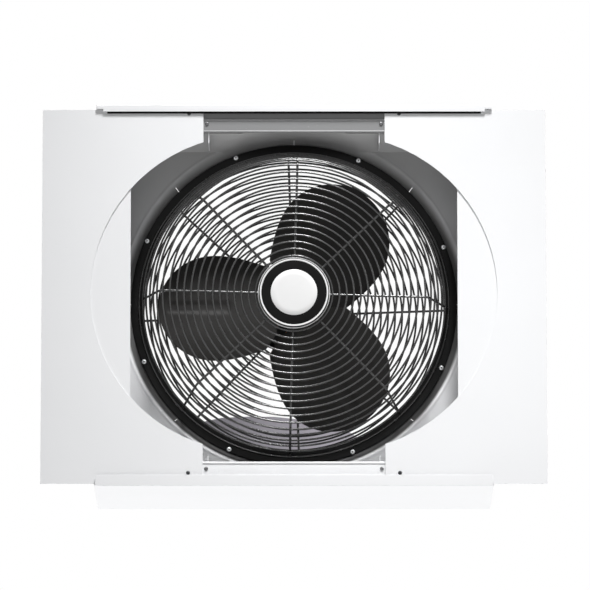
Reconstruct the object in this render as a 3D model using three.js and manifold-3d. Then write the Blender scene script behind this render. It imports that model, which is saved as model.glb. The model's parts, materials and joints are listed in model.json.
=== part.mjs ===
// Whole house window fan: a sheet steel housing with two sliding side panels and a guarded three-blade fan.
// Millimetres. X runs across the window, Y from the room side to the outdoor side, Z up.
// The origin is the centre of the housing's bottom face.

import * as THREE from 'three';
import { mergeVertices } from 'three/addons/utils/BufferGeometryUtils.js';
import Module from 'manifold-3d';

const wasm = await Module();
wasm.setup();

// Fits shared by the whole fan
const fitGap = 0.3;
const cutOverrun = 5;

// Housing box
const housingWidth = 684;
const housingHeight = 667;
const housingDepth = 243;
const sheet = 1.5;
const topLipInset = 12;
const topLipHeight = 12.5;
const bottomLipInset = 1.5;
const bottomLipHeight = 15.5;
const rearFlangeHeight = 20;
const sideFlangeWidth = 60.5;

// Side panels, placed as photographed
const photographedWidth = 868.6;
const panelWidth = 277.8;
const panelThickness = 1.5;
const panelRunGap = 2.6;
const panelTopGap = 5.9;
const trackClearance = 2.5;
const cutoutRadius = 278;
const cutoutOffset = 72;
const cutoutRise = 4.5;
const panelScrewInset = 25;
const panelScrewDrop = 6.2;
const panelScrewRise = 19;

// Rails and the brackets behind them
const topRailHeight = 45;
const bottomRailHeight = 41.5;
const railEndInset = 3;
const railBeadHeight = 3;
const railBeadDepth = 1.2;
const railBeadRise = 22;
const railHemHeight = 3;
const bracketSpacing = 301;
const upperBracketHeight = 63;
const lowerBracketHeight = 52;
const bracketTabHeight = 38;
const bracketTabWidth = 13;
const bracketWebInset = 4;
const bracketFootWidth = 44;
const railScrewInset = 31;

// Fan ring, screwed to the inlet lip
const ringSetback = 89;
const ringInnerRadius = 258;
const ringFlangeWidth = 23;
const ringThickness = 2;
const ringWallDepth = 16;
const ringScrewCount = 8;
const ringScrewInset = 5;
const headTurn = THREE.MathUtils.degToRad(-1.2);

// Orifice panel with its drawn inlet lip
const orificeSetback = 77;
const lipRingGap = 2.5;
const lipWidth = 11.5;
const lipFlangeWidth = 15.5;
const lipBendShare = [0.45, 0.2, 0.83, 0.52];
const slitCount = 8;
const slitWidth = 1.6;
const slitLength = 12;
const slitInset = 4;

// Wire guards
const guardSpokes = 8;
const wireRadius = 1.6;
const barHalfHeight = 2;
const guardInnerRadius = 66;
const guardPitch = 12.3;
const guardFaceInset = 32.1;
const guardSkirtRings = 4;
const guardShoulderRadius = 8;
const guardShoulderRun = 10;
const frontGuardReach = 11;
const rearGuardSetback = 192;
const frontGuardTurn = THREE.MathUtils.degToRad(-1.5);
const rearGuardTurn = THREE.MathUtils.degToRad(2);
const centrePlateRadius = 54;
const centrePlateThickness = 2;

// Badge on the front guard
const badgeRimRadius = 61;
const badgeRimWidth = 5;
const badgeDiscRadius = 40;
const badgeDepth = 7;
const badgeDiscThickness = 0.6;

// Blades
const bladeCount = 3;
const bladeSetback = 120;
const bladeTipGap = 23;
const bladeRadius = 97.4;
const bladeThickness = 1.5;
const bladePitch = THREE.MathUtils.degToRad(14);
const bladeCamber = 5;
const camberMiddleShare = 0.5;
const bladeRootStart = 30;
const bladeRootEnd = 48;
const bladeRootHalfAngle = THREE.MathUtils.degToRad(58);
const bladeTipHalfAngle = THREE.MathUtils.degToRad(8);
const firstBladeAngle = THREE.MathUtils.degToRad(180);

// Blade spider, shaft and nut
const armHalfWidth = 16;
const armStart = 16;
const armReach = 95;
const armThickness = 2.5;
const bossRadius = 24;
const bossFrontSetback = 111;
const bossBackSetback = 133;
const shaftRadius = 6.35;
const shaftNose = 101;
const nutRadius = 11;
const nutHeight = 8;

// Motor
const motorRadius = 62;
const motorFrontSetback = 136;
const mountPlateThickness = 2;
const mountPlateRadius = 70;
const mountPlateHole = 30;
const bellWall = 2.5;
const bellChamfer = 5;
const bearingRadius = 16;
const bearingLength = 8;
const bearingBossWall = 3;
const shaftHoleRadius = 9;
const statorLength = 28;
const statorInnerRadius = 37;
const windingInnerRadius = 40;
const windingOuterRadius = 53;
const windingLength = 5.5;
const rotorAirGap = 0.8;
const motorScrewCount = 4;
const motorScrewCircle = 49;

// Switch housing at the back of the motor
const switchHousingRadius = 44;
const switchHousingDepth = 36;
const switchHousingWall = 2;
const capacitorRadius = 11;
const capacitorLength = 28;
const capacitorRise = 25;
const switchSide = 22;
const switchDepth = 20;
const knobRadius = 15;
const knobDepth = 11;
const knobPointerWidth = 4;
const knobPointerHeight = 1.5;
const spindleRadius = 3;
const spindleLength = 9;
const glandRadius = 6.5;
const glandFlangeRadius = 9;
const glandFlangeThickness = 4;
const glandNose = 4;
const glandBore = 3.5;
const glandSetback = 210;

// Fasteners
const smallHeadRadius = 3.4;
const smallHeadHeight = 1.4;
const smallShankRadius = 1.8;
const panHeadRadius = 4.2;
const panHeadHeight = 2.2;
const panShankRadius = 2;
const panShankLength = 7;
const headCrownShare = 0.8;

// Facets
const cutoutFacets = 72;
const bigFacets = 36;
const guardFacets = 24;
const middleFacets = 20;
const smallFacets = 10;
const screwFacets = 8;
const wireSides = 3;
const nutSides = 6;
const guardShoulderSteps = 2;
const bladeColumns = 4;
const bladeSideSteps = 4;
const bladeTipSteps = 6;
const armColumns = 2;

// Levels along Y, from the front plane of the track lips backwards
const frontY = -housingDepth / 2;
const rearY = housingDepth / 2;
const panelFrontY = frontY + sheet + trackClearance;
const panelBackY = panelFrontY + panelThickness;
const sideFlangeY = panelBackY + fitGap;
const railY = sideFlangeY + sheet + fitGap;
const bracketFrontY = railY + sheet + fitGap;
const orificeY = frontY + orificeSetback;
const ringY = frontY + ringSetback;
const ringBackY = ringY + ringThickness;
const lipFlangeY = ringBackY + fitGap;
const bladeY = frontY + bladeSetback;
const frontGuardY = frontY - frontGuardReach;
const rearGuardY = frontY + rearGuardSetback;
const mountPlateBackY = rearGuardY - barHalfHeight - fitGap;
const mountPlateY = mountPlateBackY - mountPlateThickness;
const motorFrontY = frontY + motorFrontSetback;
const motorBackY = mountPlateY - fitGap;
const motorMiddleY = (motorFrontY + motorBackY) / 2;
const switchFrontY = mountPlateBackY + fitGap;
const switchBackY = switchFrontY + switchHousingDepth;

// Half widths across the housing
const topLipHalf = housingWidth / 2 - topLipInset;
const bottomLipHalf = housingWidth / 2 - bottomLipInset;
const openingHalf = housingWidth / 2 - sideFlangeWidth;

// Levels along Z
const axisZ = housingHeight / 2;
const wallTopZ = housingHeight - sheet;
const insideBottomZ = sheet + fitGap;
const insideTopZ = wallTopZ - fitGap;
const insideHalfWidth = housingWidth / 2 - sheet - fitGap;
const panelBottomZ = sheet + panelRunGap;
const panelTopZ = wallTopZ - panelTopGap;
const bracketX = bracketSpacing / 2;

// Radii that follow the fan ring
const ringOuterRadius = ringInnerRadius + ringFlangeWidth;
const ringScrewCircle = ringOuterRadius - ringScrewInset;
const lipInnerRadius = ringOuterRadius + lipRingGap;
const orificeRadius = lipInnerRadius + lipWidth;
const lipFlangeRadius = lipInnerRadius - lipFlangeWidth;
const slitOuterRadius = orificeRadius - slitInset;
const slitInnerRadius = slitOuterRadius - slitLength;
const bladeCentre = ringInnerRadius - bladeTipGap - bladeRadius;
const guardFaceEnd = ringInnerRadius - guardFaceInset;
const guardFaceRings = Math.round((guardFaceEnd - guardInnerRadius) / guardPitch) + 1;

// Materials
const whiteEnamel = new THREE.MeshStandardMaterial({ color: 0xe9eaeb, roughness: 0.45, metalness: 0.05 });
const blackEnamel = new THREE.MeshStandardMaterial({ color: 0x121313, roughness: 0.35, metalness: 0.1 });
const bladePaint = new THREE.MeshStandardMaterial({ color: 0x242222, roughness: 0.5, metalness: 0.2 });
const bareSteel = new THREE.MeshStandardMaterial({ color: 0xb4b7ba, roughness: 0.3, metalness: 0.9 });
const motorPaint = new THREE.MeshStandardMaterial({ color: 0x2c2d2e, roughness: 0.55, metalness: 0.3 });
const laminations = new THREE.MeshStandardMaterial({ color: 0x6f7173, roughness: 0.5, metalness: 0.8 });
const copper = new THREE.MeshStandardMaterial({ color: 0xa9582a, roughness: 0.4, metalness: 0.8 });
const blackPlastic = new THREE.MeshStandardMaterial({ color: 0x191919, roughness: 0.5, metalness: 0 });
const whitePlastic = new THREE.MeshStandardMaterial({ color: 0xf4f4f2, roughness: 0.35, metalness: 0 });
const blackOxide = new THREE.MeshStandardMaterial({ color: 0x26282a, roughness: 0.45, metalness: 0.6 });

const group = new THREE.Group();

// Merges shared vertices, drops empty triangles and turns the faces outwards
function closedGeometry(source) {
  const geometry = source.clone();
  for (const name of ['normal', 'uv']) if (geometry.hasAttribute(name)) geometry.deleteAttribute(name);
  const merged = mergeVertices(geometry);
  const corners = merged.index.array;
  const kept = [];
  for (let i = 0; i < corners.length; i += 3) {
    const [a, b, c] = [corners[i], corners[i + 1], corners[i + 2]];
    if (a !== b && b !== c && c !== a) kept.push(a, b, c);
  }
  if (signedVolume(merged.attributes.position, kept) < 0) {
    for (let i = 0; i < kept.length; i += 3) [kept[i], kept[i + 1]] = [kept[i + 1], kept[i]];
  }
  merged.setIndex(kept);
  return merged;
}

function signedVolume(position, corners) {
  const [a, b, c] = [new THREE.Vector3(), new THREE.Vector3(), new THREE.Vector3()];
  let volume = 0;
  for (let i = 0; i < corners.length; i += 3) {
    a.fromBufferAttribute(position, corners[i]);
    b.fromBufferAttribute(position, corners[i + 1]);
    c.fromBufferAttribute(position, corners[i + 2]);
    volume += a.dot(b.cross(c)) / 6;
  }
  return volume;
}

// A geometry as a solid that can be joined and cut
function solid(source) {
  const geometry = closedGeometry(source);
  const mesh = new wasm.Mesh({
    numProp: 3,
    vertProperties: new Float32Array(geometry.attributes.position.array),
    triVerts: new Uint32Array(geometry.index.array),
  });
  return new wasm.Manifold(mesh);
}

function geometryOf(manifold) {
  const mesh = manifold.getMesh();
  const geometry = new THREE.BufferGeometry();
  geometry.setAttribute('position', new THREE.BufferAttribute(mesh.vertProperties, mesh.numProp));
  geometry.setIndex(new THREE.BufferAttribute(mesh.triVerts, 1));
  return geometry;
}

function join(first, ...others) {
  return others.reduce((whole, other) => whole.add(other), first);
}

function cut(first, ...tools) {
  return tools.reduce((rest, tool) => rest.subtract(tool), first);
}

// A block between two corners
function block([x0, x1], [y0, y1], [z0, z1]) {
  const geometry = new THREE.BoxGeometry(x1 - x0, y1 - y0, z1 - z0);
  return geometry.translate((x0 + x1) / 2, (y0 + y1) / 2, (z0 + z1) / 2);
}

function ordered(a, b) {
  return [Math.min(a, b), Math.max(a, b)];
}

// A profile of [radius, y] points turned about the fan's axis
function turned(profile, facets) {
  const closed = [...profile, profile[0]];
  const points = closed.map(([radius, y]) => new THREE.Vector2(radius, y));
  return new THREE.LatheGeometry(points, facets).translate(0, 0, axisZ);
}

// A round bar along Y
function bar(radius, [y0, y1], [x, z], facets) {
  const geometry = new THREE.CylinderGeometry(radius, radius, y1 - y0, facets);
  return geometry.translate(x, (y0 + y1) / 2, z);
}

// A place at a radius and an angle about the fan's axis, as [x, z]
function around(radius, angle) {
  return [radius * Math.cos(angle), axisZ + radius * Math.sin(angle)];
}

function angles(count, turn) {
  return Array.from({ length: count }, (_, i) => turn + (i / count) * Math.PI * 2);
}

// A wall profile of [y, z] points, extruded across the fan between two x values
function crossStrip(profile, [x0, x1]) {
  const shape = new THREE.Shape(profile.map(([y, z]) => new THREE.Vector2(y, z)));
  const geometry = new THREE.ExtrudeGeometry(shape, { depth: x1 - x0, bevelEnabled: false });
  return geometry.applyMatrix4(new THREE.Matrix4().makeBasis(
    new THREE.Vector3(0, 1, 0),
    new THREE.Vector3(0, 0, 1),
    new THREE.Vector3(1, 0, 0),
  )).translate(x0, 0, 0);
}

// A plan profile of [x, y] points, extruded upwards between two z values
function upright(profile, [z0, z1]) {
  const shape = new THREE.Shape(profile.map(([x, y]) => new THREE.Vector2(x, y)));
  return new THREE.ExtrudeGeometry(shape, { depth: z1 - z0, bevelEnabled: false }).translate(0, 0, z0);
}

function add(name, shape, material) {
  const geometry = shape.isBufferGeometry ? closedGeometry(shape) : geometryOf(shape);
  const mesh = new THREE.Mesh(geometry, material);
  mesh.name = name;
  group.add(mesh);
}

// A screw along Y. facing is -1 for a head towards the room and 1 for a head towards outdoors
function screw({ seatY, facing, headRadius, headHeight, shankRadius, shankLength, place }) {
  const profile = [
    [0, facing * headHeight],
    [headRadius * headCrownShare, facing * headHeight],
    [headRadius, 0],
    [shankRadius, 0],
    [shankRadius, -facing * shankLength],
    [0, -facing * shankLength],
  ];
  const points = profile.map(([radius, y]) => new THREE.Vector2(radius, y));
  const [x, z] = place;
  return new THREE.LatheGeometry(points, screwFacets).translate(x, seatY, z);
}

// Housing: top and bottom carry the track lips, the sides carry the frame behind the panels
function addHousing() {
  const wall = [[frontY, rearY], [-housingWidth / 2, housingWidth / 2]];
  const rearLip = [rearY - sheet, rearY];
  const top = join(
    solid(block(wall[1], wall[0], [wallTopZ, housingHeight])),
    solid(block([-topLipHalf, topLipHalf], [frontY, frontY + sheet],
      [housingHeight - topLipHeight, housingHeight])),
    solid(block(wall[1], rearLip, [housingHeight - rearFlangeHeight, housingHeight])),
  );
  const bottom = join(
    solid(block(wall[1], wall[0], [0, sheet])),
    solid(block([-bottomLipHalf, bottomLipHalf], [frontY, frontY + sheet], [0, bottomLipHeight])),
    solid(block(wall[1], rearLip, [0, rearFlangeHeight])),
  );
  add('housing_top', top, whiteEnamel);
  add('housing_bottom', bottom, whiteEnamel);
  for (const [side, name] of [[-1, 'housing_left_side'], [1, 'housing_right_side']]) {
    const outer = side * housingWidth / 2;
    const inner = outer - side * sheet;
    const flangeEnd = side * openingHalf;
    const rearFlangeEnd = outer - side * rearFlangeHeight;
    const backY = rearY - sheet - fitGap;
    const profile = [
      [flangeEnd, sideFlangeY],
      [outer, sideFlangeY],
      [outer, backY],
      [rearFlangeEnd, backY],
      [rearFlangeEnd, backY - sheet],
      [inner, backY - sheet],
      [inner, sideFlangeY + sheet],
      [flangeEnd, sideFlangeY + sheet],
    ];
    add(name, upright(profile, [insideBottomZ, insideTopZ]), whiteEnamel);
  }
}

// Rails above and below the opening, with a bead and a hemmed edge
function addRails() {
  const halfLength = housingWidth / 2 - sheet - railEndInset;
  const beadHalfLength = openingHalf - railEndInset;
  const rails = [
    { name: 'top_rail', wallZ: insideTopZ, height: topRailHeight, down: 1 },
    { name: 'bottom_rail', wallZ: insideBottomZ, height: bottomRailHeight, down: -1 },
  ];
  for (const { name, wallZ, height, down } of rails) {
    const edgeZ = wallZ - down * height;
    const hemZ = edgeZ + down * railHemHeight;
    const beadZ = edgeZ + down * railBeadRise;
    const bead = [
      [railY + sheet / 2, beadZ - railBeadHeight / 2],
      [railY, beadZ - railBeadHeight / 2],
      [railY - railBeadDepth, beadZ],
      [railY, beadZ + railBeadHeight / 2],
      [railY + sheet / 2, beadZ + railBeadHeight / 2],
    ];
    const screwZ = down > 0 ? housingHeight - railScrewInset : railScrewInset;
    const holes = [-bracketX, bracketX].map((x) => solid(bar(panShankRadius + fitGap,
      [railY - cutOverrun, railY + cutOverrun], [x, screwZ], screwFacets)));
    const rail = join(
      solid(block([-halfLength, halfLength], [railY, railY + sheet], ordered(edgeZ, wallZ))),
      solid(block([-beadHalfLength, beadHalfLength], [railY - railBeadDepth, railY + sheet],
        ordered(edgeZ, hemZ))),
      solid(crossStrip(bead, [-beadHalfLength, beadHalfLength])),
    );
    add(name, cut(rail, ...holes), whiteEnamel);
  }
}

// Brackets that tie the orifice panel to the rails: a tab behind the rail, a web and a wide foot
function addBrackets() {
  const backY = orificeY - fitGap;
  const tabBackY = bracketFrontY + sheet;
  const levels = [
    {
      levelName: 'upper',
      bodyLevels: [insideTopZ - upperBracketHeight, insideTopZ],
      tabLevels: [insideTopZ - bracketTabHeight, insideTopZ],
      screwZ: housingHeight - railScrewInset,
    },
    {
      levelName: 'lower',
      bodyLevels: [insideBottomZ, insideBottomZ + lowerBracketHeight],
      tabLevels: [insideBottomZ, insideBottomZ + bracketTabHeight],
      screwZ: railScrewInset,
    },
  ];
  for (const [side, sideName] of [[-1, 'left'], [1, 'right']]) {
    const inner = side * (bracketX - bracketWebInset);
    const across = (width) => ordered(inner, inner + side * width);
    for (const { levelName, bodyLevels, tabLevels, screwZ } of levels) {
      const hole = solid(bar(panShankRadius + fitGap, [bracketFrontY - cutOverrun, tabBackY + cutOverrun],
        [side * bracketX, screwZ], screwFacets));
      const body = join(
        solid(block(across(sheet), [bracketFrontY, backY], bodyLevels)),
        solid(block(across(bracketTabWidth), [bracketFrontY, tabBackY], tabLevels)),
        solid(block(across(bracketFootWidth), [backY - sheet, backY], bodyLevels)),
      );
      add(`${levelName}_${sideName}_bracket`, cut(body, hole), whiteEnamel);
      add(`rail_screw_${levelName}_${sideName}`, screw({
        seatY: railY - fitGap,
        facing: -1,
        headRadius: smallHeadRadius,
        headHeight: smallHeadHeight,
        shankRadius: panShankRadius,
        shankLength: panShankLength,
        place: [side * bracketX, screwZ],
      }), bareSteel);
    }
  }
}

// Sheet with a round inlet whose lip is drawn back to a flange behind the fan ring
function addOrificePanel() {
  const plate = solid(block([-insideHalfWidth, insideHalfWidth], [orificeY, orificeY + sheet],
    [insideBottomZ, insideTopZ]));
  const plateHole = solid(bar(orificeRadius + sheet, [orificeY - cutOverrun, orificeY + cutOverrun],
    [0, axisZ], bigFacets));
  const width = orificeRadius - lipInnerRadius;
  const depth = lipFlangeY - orificeY;
  const [bend1, drop1, bend2, drop2] = lipBendShare;
  const lip = [
    [orificeRadius + 2 * sheet, orificeY],
    [orificeRadius, orificeY],
    [orificeRadius - bend1 * width, orificeY + drop1 * depth],
    [orificeRadius - bend2 * width, orificeY + drop2 * depth],
    [lipInnerRadius, lipFlangeY],
    [lipFlangeRadius, lipFlangeY],
    [lipFlangeRadius, lipFlangeY + sheet],
    [lipInnerRadius + sheet, lipFlangeY + sheet],
    [orificeRadius - bend2 * width + sheet, orificeY + drop2 * depth],
    [orificeRadius - bend1 * width + sheet, orificeY + drop1 * depth + sheet],
    [orificeRadius + sheet, orificeY + sheet],
    [orificeRadius + 2 * sheet, orificeY + sheet],
  ];
  const slitReach = [slitInnerRadius, slitOuterRadius];
  const slitDepth = [orificeY + sheet, lipFlangeY + sheet + cutOverrun];
  const slits = angles(slitCount, 0).map((angle) => {
    const slot = block(slitReach, slitDepth, [-slitWidth / 2, slitWidth / 2]);
    return solid(slot.rotateY(-angle).translate(0, 0, axisZ));
  });
  const holes = ringScrewPlaces().map((place) => solid(bar(panShankRadius + fitGap,
    [lipFlangeY - sheet, lipFlangeY + sheet + cutOverrun], place, screwFacets)));
  const panel = join(cut(plate, plateHole), solid(turned(lip, bigFacets)));
  add('orifice_panel', cut(panel, ...slits, ...holes), whiteEnamel);
}

function ringScrewPlaces() {
  const firstAngle = headTurn + Math.PI / ringScrewCount;
  return angles(ringScrewCount, firstAngle).map((angle) => around(ringScrewCircle, angle));
}

// Ring that carries both guards, with its screws
function addFanRing() {
  const profile = [
    [ringInnerRadius, ringY],
    [ringOuterRadius, ringY],
    [ringOuterRadius, ringBackY],
    [ringInnerRadius + ringThickness, ringBackY],
    [ringInnerRadius + ringThickness, ringY + ringWallDepth],
    [ringInnerRadius, ringY + ringWallDepth],
  ];
  const places = ringScrewPlaces();
  const holes = places.map((place) => solid(bar(panShankRadius + fitGap,
    [ringY - cutOverrun, ringY + cutOverrun], place, screwFacets)));
  add('fan_ring', cut(solid(turned(profile, bigFacets)), ...holes), blackEnamel);
  places.forEach((place, i) => add(`ring_screw_${i + 1}`, screw({
    seatY: ringY - fitGap,
    facing: -1,
    headRadius: panHeadRadius,
    headHeight: panHeadHeight,
    shankRadius: panShankRadius,
    shankLength: panShankLength,
    place,
  }), bareSteel));
}

// A guard's meridian in radius and y: the path of its spokes and the places of its rings
function guardMeridian(faceY, rimY) {
  const rimRadius = ringInnerRadius * Math.cos(Math.PI / bigFacets) - fitGap - wireRadius;
  const towardsRim = Math.sign(rimY - faceY);
  const shoulderY = faceY + towardsRim * guardShoulderRadius;
  const faceStart = new THREE.Vector2(centrePlateRadius, faceY);
  const faceStop = new THREE.Vector2(guardFaceEnd, faceY);
  const corner = new THREE.Vector2(guardFaceEnd + guardShoulderRadius, faceY);
  const skirtStart = new THREE.Vector2(guardFaceEnd + guardShoulderRun, shoulderY);
  const rim = new THREE.Vector2(rimRadius + wireRadius - barHalfHeight, rimY);
  const shoulder = new THREE.QuadraticBezierCurve(faceStop, corner, skirtStart);
  const skirt = new THREE.LineCurve(skirtStart, rim);
  const pastRim = rim.clone().setY(rimY + towardsRim * barHalfHeight);
  const rings = [];
  for (let i = 0; i < guardFaceRings; i += 1) {
    rings.push(new THREE.Vector2(guardFaceEnd - i * guardPitch, faceY));
  }
  for (let i = 0; i < guardSkirtRings; i += 1) {
    rings.push(skirt.getPoint(i / (guardSkirtRings - 1)));
  }
  const [, shoulderMiddle] = shoulder.getPoints(guardShoulderSteps);
  return { spoke: [faceStart, faceStop, shoulderMiddle, skirtStart, rim, pastRim], rings };
}

// The outline of a bar that follows a path, half its height to each side
function barOutline(path, halfHeight) {
  const sides = [[], []];
  path.forEach((point, i) => {
    const before = path[Math.max(i - 1, 0)];
    const after = path[Math.min(i + 1, path.length - 1)];
    const along = after.clone().sub(before).normalize();
    const across = new THREE.Vector2(-along.y, along.x).multiplyScalar(halfHeight);
    sides[0].push(point.clone().add(across));
    sides[1].unshift(point.clone().sub(across));
  });
  return [...sides[0], ...sides[1]];
}

// A wire ring about the fan's axis
function wireRing({ x: radius, y }) {
  const profile = angles(wireSides, Math.PI).map((angle) => [
    radius + wireRadius * Math.cos(angle),
    y + wireRadius * Math.sin(angle),
  ]);
  return solid(turned(profile, guardFacets));
}

// Concentric rings on spokes that run from the middle out and back to the rim
function guardSolid({ faceY, rimY, turn, extras }) {
  const { spoke, rings } = guardMeridian(faceY, rimY);
  const outline = new THREE.Shape(barOutline(spoke, barHalfHeight));
  const flat = new THREE.ExtrudeGeometry(outline, { depth: 2 * wireRadius, bevelEnabled: false })
    .translate(0, 0, -wireRadius);
  const spokes = angles(guardSpokes, Math.PI / 2)
    .map((angle) => solid(flat.clone().rotateY(-angle).translate(0, 0, axisZ)));
  const guard = geometryOf(join(...rings.map(wireRing), ...spokes, ...extras));
  return guard.translate(0, 0, -axisZ).rotateY(-turn).translate(0, 0, axisZ);
}

function addGuards() {
  const plateY = frontGuardY - barHalfHeight;
  const centrePlate = turned([
    [0, plateY],
    [centrePlateRadius + wireRadius, plateY],
    [centrePlateRadius + wireRadius, plateY + centrePlateThickness],
    [0, plateY + centrePlateThickness],
  ], middleFacets);
  add('front_guard', guardSolid({
    faceY: frontGuardY,
    rimY: ringY + wireRadius,
    turn: frontGuardTurn,
    extras: [solid(centrePlate)],
  }), blackEnamel);
  add('rear_guard', guardSolid({
    faceY: rearGuardY,
    rimY: ringY + ringWallDepth - wireRadius,
    turn: rearGuardTurn,
    extras: [],
  }), blackEnamel);
}

// Round badge: a black cap in a white rim, with a plain white disc
function addBadge() {
  const backY = frontGuardY - barHalfHeight - fitGap;
  const faceY = backY - badgeDepth;
  const capRadius = badgeRimRadius - badgeRimWidth;
  add('badge_rim', turned([
    [capRadius, backY],
    [badgeRimRadius, backY],
    [badgeRimRadius, faceY + sheet],
    [badgeRimRadius - sheet, faceY],
    [capRadius, faceY],
  ], middleFacets), whitePlastic);
  add('badge_cap', turned([
    [0, backY],
    [capRadius - fitGap, backY],
    [capRadius - fitGap, faceY],
    [0, faceY],
  ], middleFacets), blackPlastic);
  add('badge_disc', turned([
    [0, faceY - fitGap],
    [badgeDiscRadius, faceY - fitGap],
    [badgeDiscRadius, faceY - fitGap - badgeDiscThickness],
    [0, faceY - fitGap - badgeDiscThickness],
  ], middleFacets), whitePlastic);
}

// Height of a blade's middle surface at u outwards and v round from the blade's own radius
function bladeLevel(v) {
  const across = v / bladeRadius;
  return bladeY - v * Math.tan(bladePitch) + bladeCamber * (across * across - camberMiddleShare);
}

// A pitched sheet from stations of [u, half width], offset from the blade's middle surface
function pitchedSheet(stations, columns, [offset0, offset1]) {
  const positions = [];
  const corners = [];
  const rowLength = columns + 1;
  const layer = stations.length * rowLength;
  for (const offset of [offset0, offset1]) {
    for (const [u, halfWidth] of stations) {
      for (let i = 0; i <= columns; i += 1) {
        const v = halfWidth * (2 * i / columns - 1);
        positions.push(u, bladeLevel(v) + offset, v);
      }
    }
  }
  const quad = (a, b, c, d) => corners.push(a, b, c, a, c, d);
  for (let row = 0; row < stations.length - 1; row += 1) {
    for (let i = 0; i < columns; i += 1) {
      const a = row * rowLength + i;
      const [b, c, d] = [a + 1, a + rowLength + 1, a + rowLength];
      quad(a, b, c, d);
      quad(a + layer, d + layer, c + layer, b + layer);
    }
    const left = row * rowLength;
    const right = left + columns;
    quad(left, left + rowLength, left + rowLength + layer, left + layer);
    quad(right, right + layer, right + rowLength + layer, right + rowLength);
  }
  const last = (stations.length - 1) * rowLength;
  for (let i = 0; i < columns; i += 1) {
    quad(i, i + layer, i + 1 + layer, i + 1);
    quad(last + i, last + i + 1, last + i + 1 + layer, last + i + layer);
  }
  const geometry = new THREE.BufferGeometry();
  geometry.setAttribute('position', new THREE.Float32BufferAttribute(positions, 3));
  geometry.setIndex(corners);
  return geometry;
}

// Stations of a blade: a wedge at the root, nearly parallel sides, then a round end
function bladeStations() {
  const rootWidth = bladeRootEnd * Math.tan(bladeRootHalfAngle);
  const stations = [
    [bladeRootStart, bladeRootStart * Math.tan(bladeRootHalfAngle)],
    [bladeRootEnd, rootWidth],
  ];
  for (let i = 1; i < bladeSideSteps; i += 1) {
    const along = i / bladeSideSteps;
    const swell = Math.sin(along * Math.PI / 2);
    const u = THREE.MathUtils.lerp(bladeRootEnd, bladeCentre, along);
    stations.push([u, THREE.MathUtils.lerp(rootWidth, bladeRadius, swell)]);
  }
  for (let i = 0; i <= bladeTipSteps; i += 1) {
    const angle = THREE.MathUtils.lerp(Math.PI / 2, bladeTipHalfAngle, i / bladeTipSteps);
    stations.push([bladeCentre + bladeRadius * Math.cos(angle), bladeRadius * Math.sin(angle)]);
  }
  return stations;
}

// Blades on a three-armed spider, with the shaft, nut and motor rotor they turn with
function addRotor() {
  const bladeAngles = angles(bladeCount, firstBladeAngle);
  const blade = pitchedSheet(bladeStations(), bladeColumns, [-bladeThickness / 2, bladeThickness / 2]);
  bladeAngles.forEach((angle, i) => {
    add(`blade_${i + 1}`, blade.clone().rotateY(-angle).translate(0, 0, axisZ), bladePaint);
  });
  const armFront = bladeThickness / 2 + fitGap;
  const arm = pitchedSheet([[armStart, armHalfWidth], [armReach, armHalfWidth]], armColumns,
    [armFront, armFront + armThickness]);
  const arms = bladeAngles.map((angle) => solid(arm.clone().rotateY(-angle).translate(0, 0, axisZ)));
  const bossFrontY = frontY + bossFrontSetback;
  const bossBackY = frontY + bossBackSetback;
  const boss = solid(bar(bossRadius, [bossFrontY, bossBackY], [0, axisZ], middleFacets));
  const bore = solid(bar(shaftRadius + fitGap, [bossFrontY - cutOverrun, bossBackY + cutOverrun],
    [0, axisZ], smallFacets));
  add('blade_spider', cut(join(boss, ...arms), bore), bladePaint);
  const shaftNoseY = frontY + shaftNose;
  const shaftEndY = motorBackY - bellWall - fitGap;
  add('motor_shaft', bar(shaftRadius, [shaftNoseY, shaftEndY], [0, axisZ], smallFacets), bareSteel);
  const nutBackY = bossFrontY - fitGap;
  const nutFrontY = nutBackY - nutHeight;
  const nut = bar(nutRadius, [nutFrontY, nutBackY], [0, axisZ], nutSides);
  const nutBore = bar(shaftRadius + fitGap, [nutFrontY - cutOverrun, nutBackY + cutOverrun],
    [0, axisZ], smallFacets);
  add('hub_nut', cut(solid(nut), solid(nutBore)), bareSteel);
  const coreRadius = statorInnerRadius - rotorAirGap;
  const coreHalf = statorLength / 2 - rotorAirGap;
  add('rotor_core', turned([
    [shaftRadius + fitGap, motorMiddleY - coreHalf],
    [coreRadius, motorMiddleY - coreHalf],
    [coreRadius, motorMiddleY + coreHalf],
    [shaftRadius + fitGap, motorMiddleY + coreHalf],
  ], middleFacets), laminations);
}

// One end bell. closedY is its end wall's outer face and inward is the way into the motor along Y
function endBell(closedY, inward) {
  const wallY = closedY + inward * bellWall;
  const rimY = motorMiddleY - inward * fitGap / 2;
  const bossEndY = wallY + inward * bearingLength;
  const bossInner = bearingRadius + fitGap;
  return turned([
    [shaftHoleRadius, closedY],
    [motorRadius - bellChamfer, closedY],
    [motorRadius, closedY + inward * bellChamfer],
    [motorRadius, rimY],
    [motorRadius - bellWall, rimY],
    [motorRadius - bellWall, wallY + inward * bellChamfer / 2],
    [motorRadius - bellChamfer, wallY],
    [bossInner + bearingBossWall, wallY],
    [bossInner + bearingBossWall, bossEndY],
    [bossInner, bossEndY],
    [bossInner, wallY],
    [shaftHoleRadius, wallY],
  ], middleFacets);
}

// A plain ring between two radii
function collar(inner, outer, [y0, y1]) {
  return turned([[inner, y0], [outer, y0], [outer, y1], [inner, y1]], middleFacets);
}

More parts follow.
